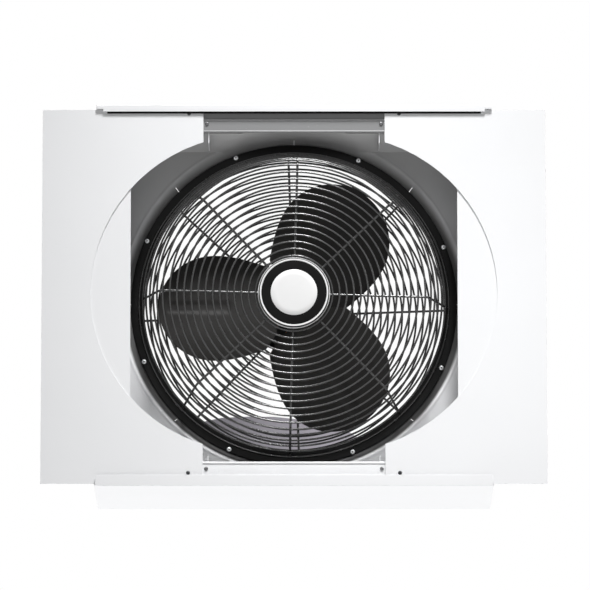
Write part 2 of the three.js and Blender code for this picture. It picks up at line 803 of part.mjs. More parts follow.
function addMotor() {
  const screwAngles = angles(motorScrewCount, rearGuardTurn + Math.PI / guardSpokes);
  const screwPlaces = screwAngles.map((angle) => around(motorScrewCircle, angle));
  const screwHoles = () => screwPlaces.map((place) => solid(bar(panShankRadius + fitGap,
    [motorBackY - bellWall - cutOverrun, mountPlateBackY + cutOverrun], place, screwFacets)));
  const plate = solid(collar(mountPlateHole, mountPlateRadius, [mountPlateY, mountPlateBackY]));
  add('motor_mount_plate', cut(plate, ...screwHoles()), blackEnamel);
  add('motor_front_bell', endBell(motorFrontY, 1), motorPaint);
  add('motor_rear_bell', cut(solid(endBell(motorBackY, -1)), ...screwHoles()), motorPaint);
  const stackY = [motorMiddleY - statorLength / 2, motorMiddleY + statorLength / 2];
  add('stator_core', collar(statorInnerRadius, motorRadius - bellWall - fitGap, stackY), laminations);
  add('winding_front', collar(windingInnerRadius, windingOuterRadius,
    [stackY[0] - fitGap - windingLength, stackY[0] - fitGap]), copper);
  add('winding_rear', collar(windingInnerRadius, windingOuterRadius,
    [stackY[1] + fitGap, stackY[1] + fitGap + windingLength]), copper);
  const frontSeat = motorFrontY + bellWall + fitGap;
  const rearSeat = motorBackY - bellWall - fitGap;
  const bore = shaftRadius + fitGap;
  add('front_bearing', collar(bore, bearingRadius, [frontSeat, frontSeat + bearingLength]), bareSteel);
  add('rear_bearing', collar(bore, bearingRadius, [rearSeat - bearingLength, rearSeat]), bareSteel);
  screwPlaces.forEach((place, i) => add(`motor_screw_${i + 1}`, screw({
    seatY: mountPlateBackY + fitGap,
    facing: 1,
    headRadius: smallHeadRadius,
    headHeight: panHeadHeight,
    shankRadius: panShankRadius,
    shankLength: mountPlateThickness + bellWall + sheet,
    place,
  }), bareSteel));
}

// Cup behind the motor with the capacitor, the rotary switch, the cord gland and the knob
function addSwitchHousing() {
  const wall = switchHousingWall;
  const endY = switchBackY - wall;
  const cup = solid(turned([
    [0, switchBackY],
    [switchHousingRadius - wall, switchBackY],
    [switchHousingRadius, switchBackY - wall],
    [switchHousingRadius, switchFrontY],
    [switchHousingRadius - wall, switchFrontY],
    [switchHousingRadius - wall, endY],
    [0, endY],
  ], middleFacets));
  const spindleHole = solid(bar(spindleRadius + 2 * fitGap, [endY - cutOverrun, switchBackY + cutOverrun],
    [0, axisZ], smallFacets));
  const glandY = frontY + glandSetback;
  const glandHole = new THREE.CylinderGeometry(glandRadius + fitGap, glandRadius + fitGap,
    switchHousingRadius, smallFacets).rotateX(Math.PI / 2).translate(0, glandY, axisZ - switchHousingRadius);
  add('switch_housing', cut(cup, spindleHole, solid(glandHole)), blackPlastic);

  const glandTop = switchHousingRadius - wall - glandFlangeThickness;
  const flangeTop = switchHousingRadius + fitGap;
  const flangeBottom = flangeTop + glandFlangeThickness;
  const noseBottom = flangeBottom + glandNose;
  const glandProfile = [
    [glandBore, -noseBottom],
    [glandRadius - sheet, -noseBottom],
    [glandRadius, -flangeBottom],
    [glandFlangeRadius, -flangeBottom],
    [glandFlangeRadius, -flangeTop],
    [glandRadius, -flangeTop],
    [glandRadius, -glandTop],
    [glandBore, -glandTop],
    [glandBore, -noseBottom],
  ].map(([radius, z]) => new THREE.Vector2(radius, z));
  add('cord_gland', new THREE.LatheGeometry(glandProfile, smallFacets).rotateX(Math.PI / 2)
    .translate(0, glandY, axisZ), blackPlastic);

  const capacitorY = endY - fitGap - capacitorRadius;
  add('capacitor', new THREE.CylinderGeometry(capacitorRadius, capacitorRadius, capacitorLength, smallFacets)
    .rotateZ(Math.PI / 2).translate(0, capacitorY, axisZ + capacitorRise), bareSteel);

  const switchBack = endY - fitGap;
  const half = switchSide / 2;
  const socketY = switchBack - spindleLength + wall;
  const socket = solid(bar(spindleRadius + fitGap, [socketY, switchBack + cutOverrun],
    [0, axisZ], smallFacets));
  const body = solid(block([-half, half], [switchBack - switchDepth, switchBack],
    [axisZ - half, axisZ + half]));
  add('rotary_switch', cut(body, socket), blackPlastic);

  const knobFrontY = switchBackY + fitGap;
  const knobBackY = knobFrontY + knobDepth;
  const knob = join(
    solid(bar(knobRadius, [knobFrontY, knobBackY], [0, axisZ], middleFacets)),
    solid(bar(spindleRadius, [knobFrontY - spindleLength + fitGap, knobFrontY + fitGap],
      [0, axisZ], smallFacets)),
    solid(block([-knobPointerWidth / 2, knobPointerWidth / 2],
      [knobFrontY + knobPointerHeight, knobBackY + knobPointerHeight], [axisZ, axisZ + knobRadius])),
  );
  add('speed_knob', knob, blackPlastic);
}

// Side panels that slide in the track, each a sheet with a round cut-out and two lock screws
function addPanels() {
  for (const [side, sideName] of [[-1, 'left'], [1, 'right']]) {
    const outer = side * photographedWidth / 2;
    const inner = outer - side * panelWidth;
    const sheetBlock = block(ordered(outer, inner), [panelFrontY, panelBackY], [panelBottomZ, panelTopZ]);
    const cutoutPlace = [side * cutoutOffset, axisZ + cutoutRise];
    const cutout = bar(cutoutRadius, [panelFrontY - cutOverrun, panelBackY + cutOverrun],
      cutoutPlace, cutoutFacets);
    const screwX = inner + side * panelScrewInset;
    const places = [
      ['top', [screwX, panelTopZ - panelScrewDrop]],
      ['bottom', [screwX, panelBottomZ + panelScrewRise]],
    ];
    const holes = places.map(([, place]) => solid(bar(smallShankRadius + fitGap,
      [panelFrontY - cutOverrun, panelBackY + cutOverrun], place, screwFacets)));
    add(`${sideName}_panel`, cut(solid(sheetBlock), solid(cutout), ...holes), whiteEnamel);
    for (const [levelName, place] of places) {
      add(`${sideName}_panel_screw_${levelName}`, screw({
        seatY: panelFrontY - fitGap,
        facing: -1,
        headRadius: smallHeadRadius,
        headHeight: smallHeadHeight,
        shankRadius: smallShankRadius,
        shankLength: panelThickness + fitGap,
        place,
      }), blackOxide);
    }
  }
}

addHousing();
addRails();
addBrackets();
addOrificePanel();
addFanRing();
addGuards();
addBadge();
addRotor();
addMotor();
addSwitchHousing();
addPanels();

export default group;
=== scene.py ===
# %% [markdown]
# A whole house fan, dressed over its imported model.
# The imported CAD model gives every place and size. Each cell below makes one visible piece or one finish.
# Lengths are written in millimetres, as on a drawing, and become metres where a piece is made.

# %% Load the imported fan
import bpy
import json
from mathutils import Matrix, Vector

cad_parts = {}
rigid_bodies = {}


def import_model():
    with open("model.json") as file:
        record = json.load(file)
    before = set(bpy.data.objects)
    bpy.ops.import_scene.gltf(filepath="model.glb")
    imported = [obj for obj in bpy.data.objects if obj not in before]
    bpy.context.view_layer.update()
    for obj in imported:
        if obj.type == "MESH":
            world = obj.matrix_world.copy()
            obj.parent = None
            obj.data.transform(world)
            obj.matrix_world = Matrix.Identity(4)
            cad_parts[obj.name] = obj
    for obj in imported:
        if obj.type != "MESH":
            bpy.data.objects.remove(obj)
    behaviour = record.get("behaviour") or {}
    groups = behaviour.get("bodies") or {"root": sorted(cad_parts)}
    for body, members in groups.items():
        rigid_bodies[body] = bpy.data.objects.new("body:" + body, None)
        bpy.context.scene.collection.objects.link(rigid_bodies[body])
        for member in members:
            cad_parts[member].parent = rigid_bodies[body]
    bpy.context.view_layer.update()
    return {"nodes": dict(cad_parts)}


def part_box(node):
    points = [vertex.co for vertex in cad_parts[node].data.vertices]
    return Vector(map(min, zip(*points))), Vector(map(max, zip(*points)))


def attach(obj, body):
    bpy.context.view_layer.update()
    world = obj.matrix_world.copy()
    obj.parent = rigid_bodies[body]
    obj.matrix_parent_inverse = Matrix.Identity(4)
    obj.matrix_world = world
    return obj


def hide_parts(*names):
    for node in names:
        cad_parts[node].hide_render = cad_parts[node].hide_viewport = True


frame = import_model()

# %% Modules, units and the fan's axis
import json
from math import acos, cos, pi, radians, sin, tan

import bpy
from mathutils import Matrix, Vector

MM = 0.001
AXIS_Z = 333.5
AXIS_CENTRE = Vector((0, 0, AXIS_Z)) * MM
FULL_TURN = 2 * pi
print("fan axis runs along Y through", tuple(AXIS_CENTRE))

# %% [markdown]
# The camera stands in front of the window and a little lower than the fan, so it looks up at it. The track lips
# give the photograph's scale: one pixel of the 590 pixel frame is 1.72 mm at the lips. The camera stands far off,
# so parallel lines stay parallel.

# %% Camera
FRAME_PIXELS = 590
MM_PER_PIXEL = 1.72
SENSOR_WIDTH = 36
CAMERA_DISTANCE = 12
CAMERA_RISE = radians(-11.2)
CAMERA_SIDESTEP = 1.0 * MM_PER_PIXEL * MM
CAMERA_DROP = 0.5 * MM_PER_PIXEL * MM
lip_front_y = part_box("housing_top")[0].y
aim = Vector((CAMERA_SIDESTEP, lip_front_y, AXIS_CENTRE.z - CAMERA_DROP))
towards_camera = Vector((0, -cos(CAMERA_RISE), sin(CAMERA_RISE)))
bpy.ops.object.camera_add(
    location=aim + towards_camera * CAMERA_DISTANCE,
    rotation=(pi / 2 - CAMERA_RISE, 0, 0))
camera = bpy.context.active_object
camera.name = "camera"
camera.data.sensor_width = SENSOR_WIDTH
camera.data.lens = SENSOR_WIDTH * CAMERA_DISTANCE / (FRAME_PIXELS * MM_PER_PIXEL * MM)
bpy.context.scene.camera = camera
bpy.context.scene.view_settings.view_transform = "Standard"
print("camera at", tuple(camera.location), "lens", camera.data.lens)

# %% [markdown]
# Every finish is a node tree. Long trees are hard to read when each node is wired by hand, so a socket is
# wrapped in a small class here, and then a line such as 1 - mask adds the Math node that it needs.

# %% Shader maths and the finish class
class Level:
    """A number that varies over a surface. Python's arithmetic signs add Math nodes to it"""

    def __init__(self, owner, socket):
        self.owner = owner
        self.socket = socket

    def maths(self, operation, first, second):
        return self.owner.node("ShaderNodeMath", {"operation": operation}, {0: first, 1: second})

    def __add__(self, other):
        return self.maths("ADD", self, other)

    def __sub__(self, other):
        return self.maths("SUBTRACT", self, other)

    def __rsub__(self, other):
        return self.maths("SUBTRACT", other, self)

    def __mul__(self, other):
        return self.maths("MULTIPLY", self, other)

    __radd__ = __add__
    __rmul__ = __mul__


class Shading:
    """A node tree that is built from levels and plain values"""

    def __init__(self, tree):
        self.tree = tree

    def plug(self, socket, value):
        if isinstance(value, Level):
            self.tree.links.new(value.socket, socket)
        else:
            socket.default_value = value

    def node(self, kind, settings=(), sockets=(), output=0):
        made = self.tree.nodes.new(kind)
        settings = dict(settings)
        stops = settings.pop("stops", ())
        for name, value in settings.items():
            setattr(made, name, value)
        for i, (place, colour) in enumerate(stops):
            made.color_ramp.elements[i].position = place
            made.color_ramp.elements[i].color = colour
        for name, value in dict(sockets).items():
            self.plug(made.inputs[name], value)
        return Level(self, made.outputs[output])


class Finish(Shading):
    """A paint, metal or plastic as a node tree around one Principled shader"""

    def __init__(self, name, fixed):
        self.material = bpy.data.materials.new(name)
        self.material.use_nodes = True
        super().__init__(self.material.node_tree)
        self.shader = self.tree.nodes["Principled BSDF"]
        self.set(fixed)

    def set(self, values):
        for name, value in values.items():
            self.plug(self.shader.inputs[name], value)

    def fade(self, value, start, end, curve="LINEAR"):
        """0 where a length in metres is below start, 1 where it is past end, both in millimetres"""
        return self.node("ShaderNodeMapRange", {"interpolation_type": curve}, {
            "Value": value, "From Min": start * MM, "From Max": end * MM})

    def place(self, stretch=(1, 1, 1)):
        coordinates = self.node("ShaderNodeTexCoord", output="Object")
        return self.node("ShaderNodeMapping", (), {"Vector": coordinates, "Scale": stretch})

    def noise(self, scale, detail=2, stretch=(1, 1, 1)):
        return self.node("ShaderNodeTexNoise", (), {
            "Vector": self.place(stretch), "Scale": scale, "Detail": detail})

    def between(self, factor, first, second):
        return self.node("ShaderNodeMix", {"data_type": "RGBA"}, {0: factor, 6: first, 7: second}, 2)

    def ramp(self, level, low, high):
        """A mask that is black up to the low level and white from the high one"""
        return self.node("ShaderNodeValToRGB", {"stops": [(low, grey(0)), (high, grey(1))]}, {"Fac": level})

    def bump(self, height, strength, distance, below=None):
        sockets = {"Height": height, "Strength": strength, "Distance": distance}
        if below:
            sockets["Normal"] = below
        return self.node("ShaderNodeBump", (), sockets)


def grey(level, warm=0.0):
    return (level * (1 + warm), level, level * (1 - warm), 1)


print("finish class ready")

# %% [markdown]
# The housing, rails, brackets and side panels are sheet steel with baked white enamel. Sprayed enamel has a fine
# orange peel, the sheet under it waves a little, and its white drifts by a shade. One tree serves all sheets, with
# more wave on the wide ones. The photograph shows the orifice panel's bead and top and the whole top rail in a shade
# that the lamps here don't give, so those are painted darker, and stay so under other light.

# %% White enamel
DARK_INNER = 292
DARK_OUTER = 297.5
DARK_SPREAD = (9, 2)
DARK_HEIGHTS = (200, 560)
TOP_SHADE_HEIGHTS = (480, 602)


def with_painted_shade(finish, tone):
    """The tone with painted shade: dark inside the bead of the inlet, with a softer and lighter edge higher up, and
    a grey top
    """
    coordinates = finish.node("ShaderNodeTexCoord", output="Object")
    across = finish.node("ShaderNodeVectorMath", {"operation": "MULTIPLY"}, {0: coordinates, 1: (1, 0, 1)})
    offset = finish.node("ShaderNodeVectorMath", {"operation": "SUBTRACT"}, {0: across, 1: AXIS_CENTRE})
    radius = finish.node("ShaderNodeVectorMath", {"operation": "LENGTH"}, {0: offset}, "Value")
    height = finish.node("ShaderNodeSeparateXYZ", (), {0: coordinates}, "Z")
    upper = finish.fade(height, *DARK_HEIGHTS)
    inner, outer = DARK_INNER - DARK_SPREAD[0] * upper, DARK_OUTER + DARK_SPREAD[1] * upper
    outside = finish.fade(radius, inner, outer, "SMOOTHSTEP")
    shaded = finish.between(finish.fade(height, *TOP_SHADE_HEIGHTS), tone, grey(0.46))
    return finish.between(outside, finish.between(upper, grey(0.08), grey(0.22)), shaded)


def white_enamel(name, wave, light=1.0, is_plate=False):
    """White enamel over a sheet that waves. light scales its white: below 1 it paints shade in, above 1 painted
    light
    """
    finish = Finish(name, {"Coat Roughness": 0.25, "Specular IOR Level": 0.3})
    drift = finish.noise(5, 3)
    speck = finish.ramp(finish.noise(260, 1), 0.74, 0.8)
    low, high = ((level * light, level * light * 1.006, level * light * 1.02, 1) for level in (0.80, 0.845))
    tone = finish.between(drift, low, high)
    # The orifice plate gets painted shade round its bead and over its top.
    if is_plate:
        tone = with_painted_shade(finish, tone)
    peel = finish.noise(620, 2)
    swell = finish.noise(7, 1)
    flow = finish.bump(swell, wave, 0.004)
    finish.set({
        "Base Color": finish.between(speck * 0.12, tone, (0.62, 0.63, 0.65, 1)),
        "Roughness": 0.34 + 0.1 * finish.noise(40, 2),
        "Coat Weight": 0.04 + 0.06 * drift,
        "Normal": finish.bump(peel, 0.14, 0.0003, flow),
    })
    return finish.material


housing_enamel = white_enamel("housing_enamel", 0.05)
panel_enamel = white_enamel("panel_enamel", 0.09)
plate_enamel = white_enamel("plate_enamel", 0.05, is_plate=True)
# The top rail's grey enamel is painted shade from the lip above it.
rail_enamel = white_enamel("rail_enamel", 0.05, light=0.3)
# The bottom rail's enamel is whiter than the housing's: painted light.
sill_enamel = white_enamel("sill_enamel", 0.05, light=1.08)
print("white enamel:", housing_enamel.name, panel_enamel.name, plate_enamel.name, rail_enamel.name, sill_enamel.name)

# %% [markdown]
# The ring and the wire guards are dip coated in black. The coat pulls thin and glossy round a wire and leaves a
# soft pebble on the flat ring, so the gloss varies and a fine bump breaks up the highlight.

# %% Black enamel
def black_enamel(name, level, roughness, grain, gloss):
    finish = Finish(name, {"Coat Roughness": 0.18, "Specular IOR Level": gloss})
    patch = finish.noise(22, 3)
    dust = finish.ramp(finish.noise(140, 3), 0.62, 0.8)
    coat = finish.between(patch, grey(level * 0.8), grey(level * 1.3))
    finish.set({
        "Base Color": finish.between(dust * 0.25, coat, grey(level * 3, 0.03)),
        "Roughness": roughness + 0.12 * patch + 0.1 * dust,
        "Coat Weight": 0.08 - 0.06 * patch,
        "Normal": finish.bump(finish.noise(grain, 2), 0.16, 0.0003),
    })
    return finish.material


ring_enamel = black_enamel("ring_enamel", 0.007, 0.3, 700, 0.1)
wire_enamel = black_enamel("wire_enamel", 0.007, 0.2, 1100, 0.8)
print("black enamel:", ring_enamel.name, wire_enamel.name)

# %% [markdown]
# The blades are aluminium sheet with a thin charcoal paint. It keeps faint streaks along one direction, so the noise
# is stretched.

# %% Blade and motor paint
def sheet_paint(name, first, second, roughness, stretch):
    finish = Finish(name, {"Coat Roughness": 0.35, "Specular IOR Level": 0.16})
    streak = finish.noise(30, 4, stretch)
    cloud = finish.noise(9, 2)
    finish.set({
        "Base Color": finish.between(0.5 * streak + 0.5 * cloud, first, second),
        "Metallic": 0.05 + 0.05 * cloud,
        "Roughness": roughness + 0.14 * streak,
        "Coat Weight": 0.02 * cloud,
        "Normal": finish.bump(finish.noise(850, 2), 0.12, 0.0003),
    })
    return finish.material


blade_paint = sheet_paint("blade_charcoal", grey(0.013, 0.04), grey(0.021, 0.06), 0.42, (1, 8, 1))
motor_paint = sheet_paint("motor_black", grey(0.014), grey(0.026), 0.38, (1, 1, 1))
print("paints:", blade_paint.name, motor_paint.name)

# %% [markdown]
# Screws, shaft and nut are zinc plated steel: bright, a little patchy, with fine turning lines. The rails' screws
# are made dark, as painted shade, and those of the side panels are blackened. All are one metal tree with other
# colours.

# %% Bare, shade-dark and blackened steel
def steel(name, light, dark, roughness):
    finish = Finish(name, {"Specular IOR Level": 0.5})
    patch = finish.noise(160, 3)
    lines = finish.noise(90, 2, (1, 24, 1))
    finish.set({
        "Base Color": finish.between(patch, dark, light),
        "Metallic": 1.0 - 0.12 * patch,
        "Roughness": roughness + 0.16 * patch + 0.06 * lines,
        "Normal": finish.bump(lines, 0.12, 0.0002),
    })
    return finish.material


bright_steel = steel("bright_steel", (0.9, 0.91, 0.92, 1), (0.68, 0.69, 0.7, 1), 0.2)
dull_steel = steel("dull_steel", (0.2, 0.2, 0.205, 1), (0.12, 0.12, 0.123, 1), 0.3)
black_oxide = steel("black_oxide", (0.06, 0.062, 0.066, 1), (0.03, 0.03, 0.033, 1), 0.36)
print("steels:", bright_steel.name, dull_steel.name, black_oxide.name)

# %% [markdown]
# Inside the motor, the cores are stacks of thin sheets and the windings are turns of enamelled copper. Both show
# as fine bands, which a wave texture gives without a thousand separate sheets.

# %% Laminations and copper
def banded(name, first, second, metallic, roughness, pitch):
    finish = Finish(name, {"Specular IOR Level": 0.5})
    bands = finish.node("ShaderNodeTexWave", {"bands_direction": "Y"}, {
        "Vector": finish.place(), "Scale": pi / (10 * pitch * MM), "Distortion": 0.6, "Detail": 1}, "Fac")
    patch = finish.noise(50, 2)
    finish.set({
        "Base Color": finish.between(0.7 * bands + 0.3 * patch, first, second),
        "Metallic": metallic - 0.1 * patch,
        "Roughness": roughness + 0.15 * patch,
        "Normal": finish.bump(bands, 0.4, 0.0002),
    })
    return finish.material


laminations = banded("laminations", grey(0.1), grey(0.22), 0.8, 0.4, 0.5)
copper = banded("copper_turns", (0.2, 0.06, 0.02, 1), (0.45, 0.17, 0.07, 1), 0.8, 0.3, 0.8)
print("motor insides:", laminations.name, copper.name)

# %% [markdown]
# The badge, knob, gland and switch cup are moulded. White parts are glossy, black ones have a spark-eroded grain,
# which is a pebble of about half a millimetre.

# %% Plastics
def moulded(name, first, second, roughness, grain, depth, gloss=0.5):
    finish = Finish(name, {"Coat Roughness": 0.2, "Specular IOR Level": gloss})
    cloud = finish.noise(30, 2)
    pebble = finish.node("ShaderNodeTexVoronoi", {"feature": "SMOOTH_F1"}, {
        "Vector": finish.place(), "Scale": grain}, "Distance")
    finish.set({
        "Base Color": finish.between(cloud, first, second),
        "Roughness": roughness + 0.1 * pebble + 0.06 * cloud,
        "Coat Weight": 0.3 * gloss * cloud,
        "Normal": finish.bump(pebble, depth, 0.0002),
    })
    return finish.material


white_plastic = moulded("white_plastic", grey(0.74), grey(0.8), 0.26, 900, 0.05)
black_plastic = moulded("black_plastic", grey(0.005), grey(0.009), 0.4, 1500, 0.25, 0.05)
print("plastics:", white_plastic.name, black_plastic.name)

# %% [markdown]
# A few small tools for modelling. Operators act on all that is selected, so every piece starts with a clean
# selection, and each finished mesh has its doubles merged, its faces turned outwards and its edges shaded.

# %% Selecting, starting and finishing a piece
MERGE_DISTANCE = 0.004 * MM


def pick(*pieces):
    if bpy.context.mode != "OBJECT":
        bpy.ops.object.mode_set(mode="OBJECT")
    bpy.ops.object.select_all(action="DESELECT")
    for piece in pieces:
        piece.select_set(True)
        bpy.context.view_layer.objects.active = piece


def start_piece(name):
    """An empty mesh at the origin, left in edit mode"""
    pick()
    bpy.ops.mesh.primitive_plane_add(size=1)
    piece = bpy.context.active_object
    piece.name = piece.data.name = name
    bpy.ops.object.mode_set(mode="EDIT")
    bpy.ops.mesh.delete(type="VERT")
    return piece


def select_mesh(everything=True):
    bpy.ops.mesh.select_all(action="SELECT" if everything else "DESELECT")


def extrude(step):
    bpy.ops.mesh.extrude_region_move(TRANSFORM_OT_translate={"value": step})


def shade(angle):
    bpy.ops.object.shade_smooth_by_angle(angle=radians(angle))


def close_piece(piece, smooth_angle=35):
    """Leaves edit mode with merged doubles, faces turned outwards and soft edges shaded smooth"""
    select_mesh()
    bpy.ops.mesh.remove_doubles(threshold=MERGE_DISTANCE)
    bpy.ops.mesh.normals_make_consistent(inside=False)
    pick(piece)
    shade(smooth_angle)
    return piece


def apply_modifier(piece, kind, **settings):
    pick(piece)
    modifier = piece.modifiers.new(kind.lower(), kind)
    for name, value in settings.items():
        setattr(modifier, name, value)
    bpy.ops.object.modifier_apply(modifier=modifier.name)


def cut_away(piece, tool, smooth_angle=40, **settings):
    """Takes the tool, which is still in edit mode, away from the piece"""
    close_piece(tool)
    apply_modifier(piece, "BOOLEAN", object=tool, operation="DIFFERENCE", solver="EXACT", **settings)
    bpy.data.objects.remove(tool)
    shade(smooth_angle)


def add_block(middle, size, tilt=0.0, edge=0.0):
    """A block with its size in millimetres. It is tilted before it is stretched, and an edge rounds it"""
    bpy.ops.mesh.primitive_cube_add(size=1, location=middle, rotation=(0, tilt, 0))
    bpy.ops.transform.resize(value=[length * MM for length in size], center_override=middle)
    if edge:
        bpy.ops.mesh.bevel(offset=edge * MM, segments=2)


print("selection tools ready")

# %% [markdown]
# Much of the fan is turned about its axis: the inlet lip, the ring, the badge, the motor and the guards' rings. A
# profile is drawn by extruding one corner after another, and then it is spun.

# %% Drawing and turning a profile
def spot(radius, y, angle=0.0):
    """A place at a radius and an angle about the fan's axis, in metres"""
    return Vector((radius * cos(angle), y, AXIS_Z + radius * sin(angle))) * MM


def draw_line(points, closed=True):
    """A line of edges: a plane merged to one corner, which is extruded from point to point"""
    bpy.ops.mesh.primitive_plane_add(size=MM, location=points[0])
    bpy.ops.mesh.merge(type="CENTER")
    for before, after in zip(points, points[1:] + points[:1] if closed else points[1:]):
        extrude(after - before)
    bpy.ops.mesh.select_linked()
    if closed:
        bpy.ops.mesh.remove_doubles(threshold=MERGE_DISTANCE)
        bpy.ops.mesh.select_linked()


def spin_selected(steps, angle=FULL_TURN, centre=AXIS_CENTRE, axis=(0, 1, 0), copies=False):
    bpy.ops.mesh.spin(steps=steps, angle=angle, center=centre, axis=axis, dupli=copies)


def shifted(profile, y):
    return [(radius, y + depth) for radius, depth in profile]


def repeat_round(copies):
    """Sets the selection round the fan's axis, as that many copies with the first"""
    spin_selected(copies - 1, FULL_TURN * (copies - 1) / copies, copies=True)


def turn(profile, steps=96, closed=True):
    """Turns [radius, y] points about the fan's axis. A closed profile ends where it starts"""
    draw_line([spot(radius, y) for radius, y in profile], closed)
    spin_selected(steps)


def turned_piece(name, *profiles, steps=96, smooth_angle=35):
    piece = start_piece(name)
    for profile in profiles:
        turn(profile, steps)
    return close_piece(piece, smooth_angle)


def smooth_step(low, high, value):
    share = min(max((value - low) / (high - low), 0), 1)
    return share * share * (3 - 2 * share)


def rounded(profile, radius, steps=3):
    """A closed profile whose corners are swapped for short arcs"""
    points = []
    for i, corner in enumerate(profile):
        corner = Vector(corner)
        before = Vector(profile[i - 1]) - corner
        after = Vector(profile[(i + 1) % len(profile)]) - corner
        reach = min(radius, before.length * 0.45, after.length * 0.45)
        start = corner + before.normalized() * reach
        end = corner + after.normalized() * reach
        for step in range(steps + 1):
            share = step / steps
            first = start.lerp(corner, share)
            points.append(tuple(first.lerp(corner.lerp(end, share), share)))
    return points


print("lathe ready")

# %% [markdown]
# A piece is dressed once its mesh is done: it gets its finish and the body that carries it, and it takes the place
# of the plain solids that it stands for.

# %% Dressing a piece
def dress(piece, finish, slot, *nodes, body="housing"):
    piece.data.materials.clear()
    piece.data.materials.append(finish)
    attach(piece, body)
    if nodes:
        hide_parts(*nodes)
    print(piece.name, "has", sum(len(face.vertices) - 2 for face in piece.data.polygons), "triangles")


def softened(node, name, width, segments=2, smooth_angle=30):
    """A copy of a solid whose sharp edges are rounded, as bent sheet and enamel round them"""
    piece = bpy.data.objects.new(name, frame["nodes"][node].data.copy())
    bpy.context.scene.collection.objects.link(piece)
    pick(piece)
    bpy.ops.mesh.customdata_custom_splitnormals_clear()
    bpy.ops.object.mode_set(mode="EDIT")
    select_mesh()
    bpy.ops.mesh.remove_doubles(threshold=MERGE_DISTANCE)
    bpy.ops.mesh.dissolve_limited(angle_limit=radians(1))
    apply_modifier(
        piece, "BEVEL", width=width * MM, segments=segments, limit_method="ANGLE", angle_limit=radians(32))
    shade(smooth_angle)
    apply_modifier(piece, "WEIGHTED_NORMAL", mode="FACE_AREA", keep_sharp=True)
    return piece


def copy_of(piece, name, move=(0, 0, 0), turn_by=0.0):
    """Another of the same piece with its own mesh, moved or turned about the fan's axis"""
    pick(piece)
    bpy.ops.object.duplicate(linked=False)
    copy = bpy.context.active_object
    copy.name = copy.data.name = name
    about = Matrix.Translation(AXIS_CENTRE) @ Matrix.Rotation(-turn_by, 4, "Y")
    copy.matrix_world = Matrix.Translation(Vector(move)) @ about @ Matrix.Translation(-AXIS_CENTRE)
    pick(copy)
    bpy.ops.object.transform_apply(location=True, rotation=True, scale=True)
    return copy


print("dressing tools ready")

# %% [markdown]
# The housing is four bent sheets. The top and bottom ones end in the track lips, and the side ones turn in to a
# flange that the panels run over. A bent sheet has a small radius at every edge, so each is a softened copy of its
# solid. The lips and the flanges' tops are then set to the heights at which the photograph shows them.

# %% Housing sheets and brackets
SHEET_EDGE = 0.55
LIP_BACK_Y = -118
TOP_LIP_TRIM = 1.7
LIP_EDGE_REACH = 1.5
BOTTOM_LIP_RAISE = 3.5
BOTTOM_LIP_START_Z = 10
FLANGE_BACK_Y = -114
FLANGE_TOP_Z = 661.2


def raise_front(sheet, back_y, rise, above=0, below=1000):
    """Moves what lies in front of a plane and between two heights up by a rise, all in millimetres"""
    for vertex in sheet.data.vertices:
        if vertex.co.y < back_y * MM and above * MM < vertex.co.z < below * MM:
            vertex.co.z += rise * MM


for part in ("housing_top", "housing_bottom", "housing_left_side", "housing_right_side"):
    sheet = softened(part, part + "_sheet", SHEET_EDGE)
    if part == "housing_top":
        lip_low_z = min(vertex.co.z for vertex in sheet.data.vertices if vertex.co.y < LIP_BACK_Y * MM) / MM
        raise_front(sheet, LIP_BACK_Y, TOP_LIP_TRIM, below=lip_low_z + LIP_EDGE_REACH)
    elif part == "housing_bottom":
        raise_front(sheet, LIP_BACK_Y, BOTTOM_LIP_RAISE, above=BOTTOM_LIP_START_Z)
    else:
        drop = sheet.bound_box[6][2] / MM - FLANGE_TOP_Z
        raise_front(sheet, FLANGE_BACK_Y, -drop, above=FLANGE_TOP_Z)
    dress(sheet, housing_enamel, "white_enamel", part)
for part in ("upper_left_bracket", "upper_right_bracket", "lower_left_bracket", "lower_right_bracket"):
    dress(softened(part, part + "_sheet", 0.4), housing_enamel, "white_enamel", part)

# %% [markdown]
# A rail is a bent strip: flat where it meets the wall, with a hem at its free edge, and the top one has a bead along
# its middle. A softened copy could serve, but a drawn profile that is pulled along X keeps the bead smooth.

# %% Rails
RAIL_FRONT_Y = -113.9
RAIL_HALF_LENGTH = 337.5
FRONT_HALF_LENGTH = 278.5
BACK_STRIP = [(41.2, 0.05), (0.4, 0.05)]
RAIL_SHEET = 1.4
beaded_front = [
    (41, 0), (24.4, 0), (23.5, -0.6), (22.7, -1.1), (22, -1.2), (21.3, -1.1), (20.5, -0.6), (19.6, 0),
    (4, 0), (3.3, -0.5), (2.7, -1.1), (1.9, -1.2), (0.9, -1.2), (0.3, -0.9), (0, -0.3)]
plain_front = beaded_front[:1] + beaded_front[8:]


def pulled_strip(front, half_length, edge_z, inwards):
    """A closed profile, given as [distance from the free edge, y] points of its front, pulled along X"""
    back = [(front[-1][0], RAIL_SHEET), (front[0][0], RAIL_SHEET)]
    corners = [Vector((-half_length, RAIL_FRONT_Y + y, edge_z + inwards * reach)) * MM for reach, y in front + back]
    draw_line(corners)
    bpy.ops.mesh.edge_face_add()
    extrude((2 * half_length * MM, 0, 0))
    select_mesh(False)


# The top rail wears the grey enamel of painted shade and the bottom rail the whiter enamel of painted light.
for part, front, edge_z, inwards, finish in (
        ("top_rail", beaded_front, 620.5, 1, rail_enamel), ("bottom_rail", plain_front, 43, -1, sill_enamel)):
    rail = start_piece(part + "_bent")
    pulled_strip(front, FRONT_HALF_LENGTH, edge_z, inwards)
    pulled_strip(BACK_STRIP, RAIL_HALF_LENGTH, edge_z, inwards)
    dress(close_piece(rail, 22), finish, "white_enamel", part)

# %% [markdown]
# Each side panel is one sheet with a round cut-out, and slides in the tracks. Its edges are sheared and then
# enamelled, so they are only just broken.

# %% Side panels
for side in ("left", "right"):
    panel = softened(side + "_panel", side + "_panel_sheet", 0.3)
    dress(panel, panel_enamel, "white_enamel", side + "_panel", body=side + "_side_panel")
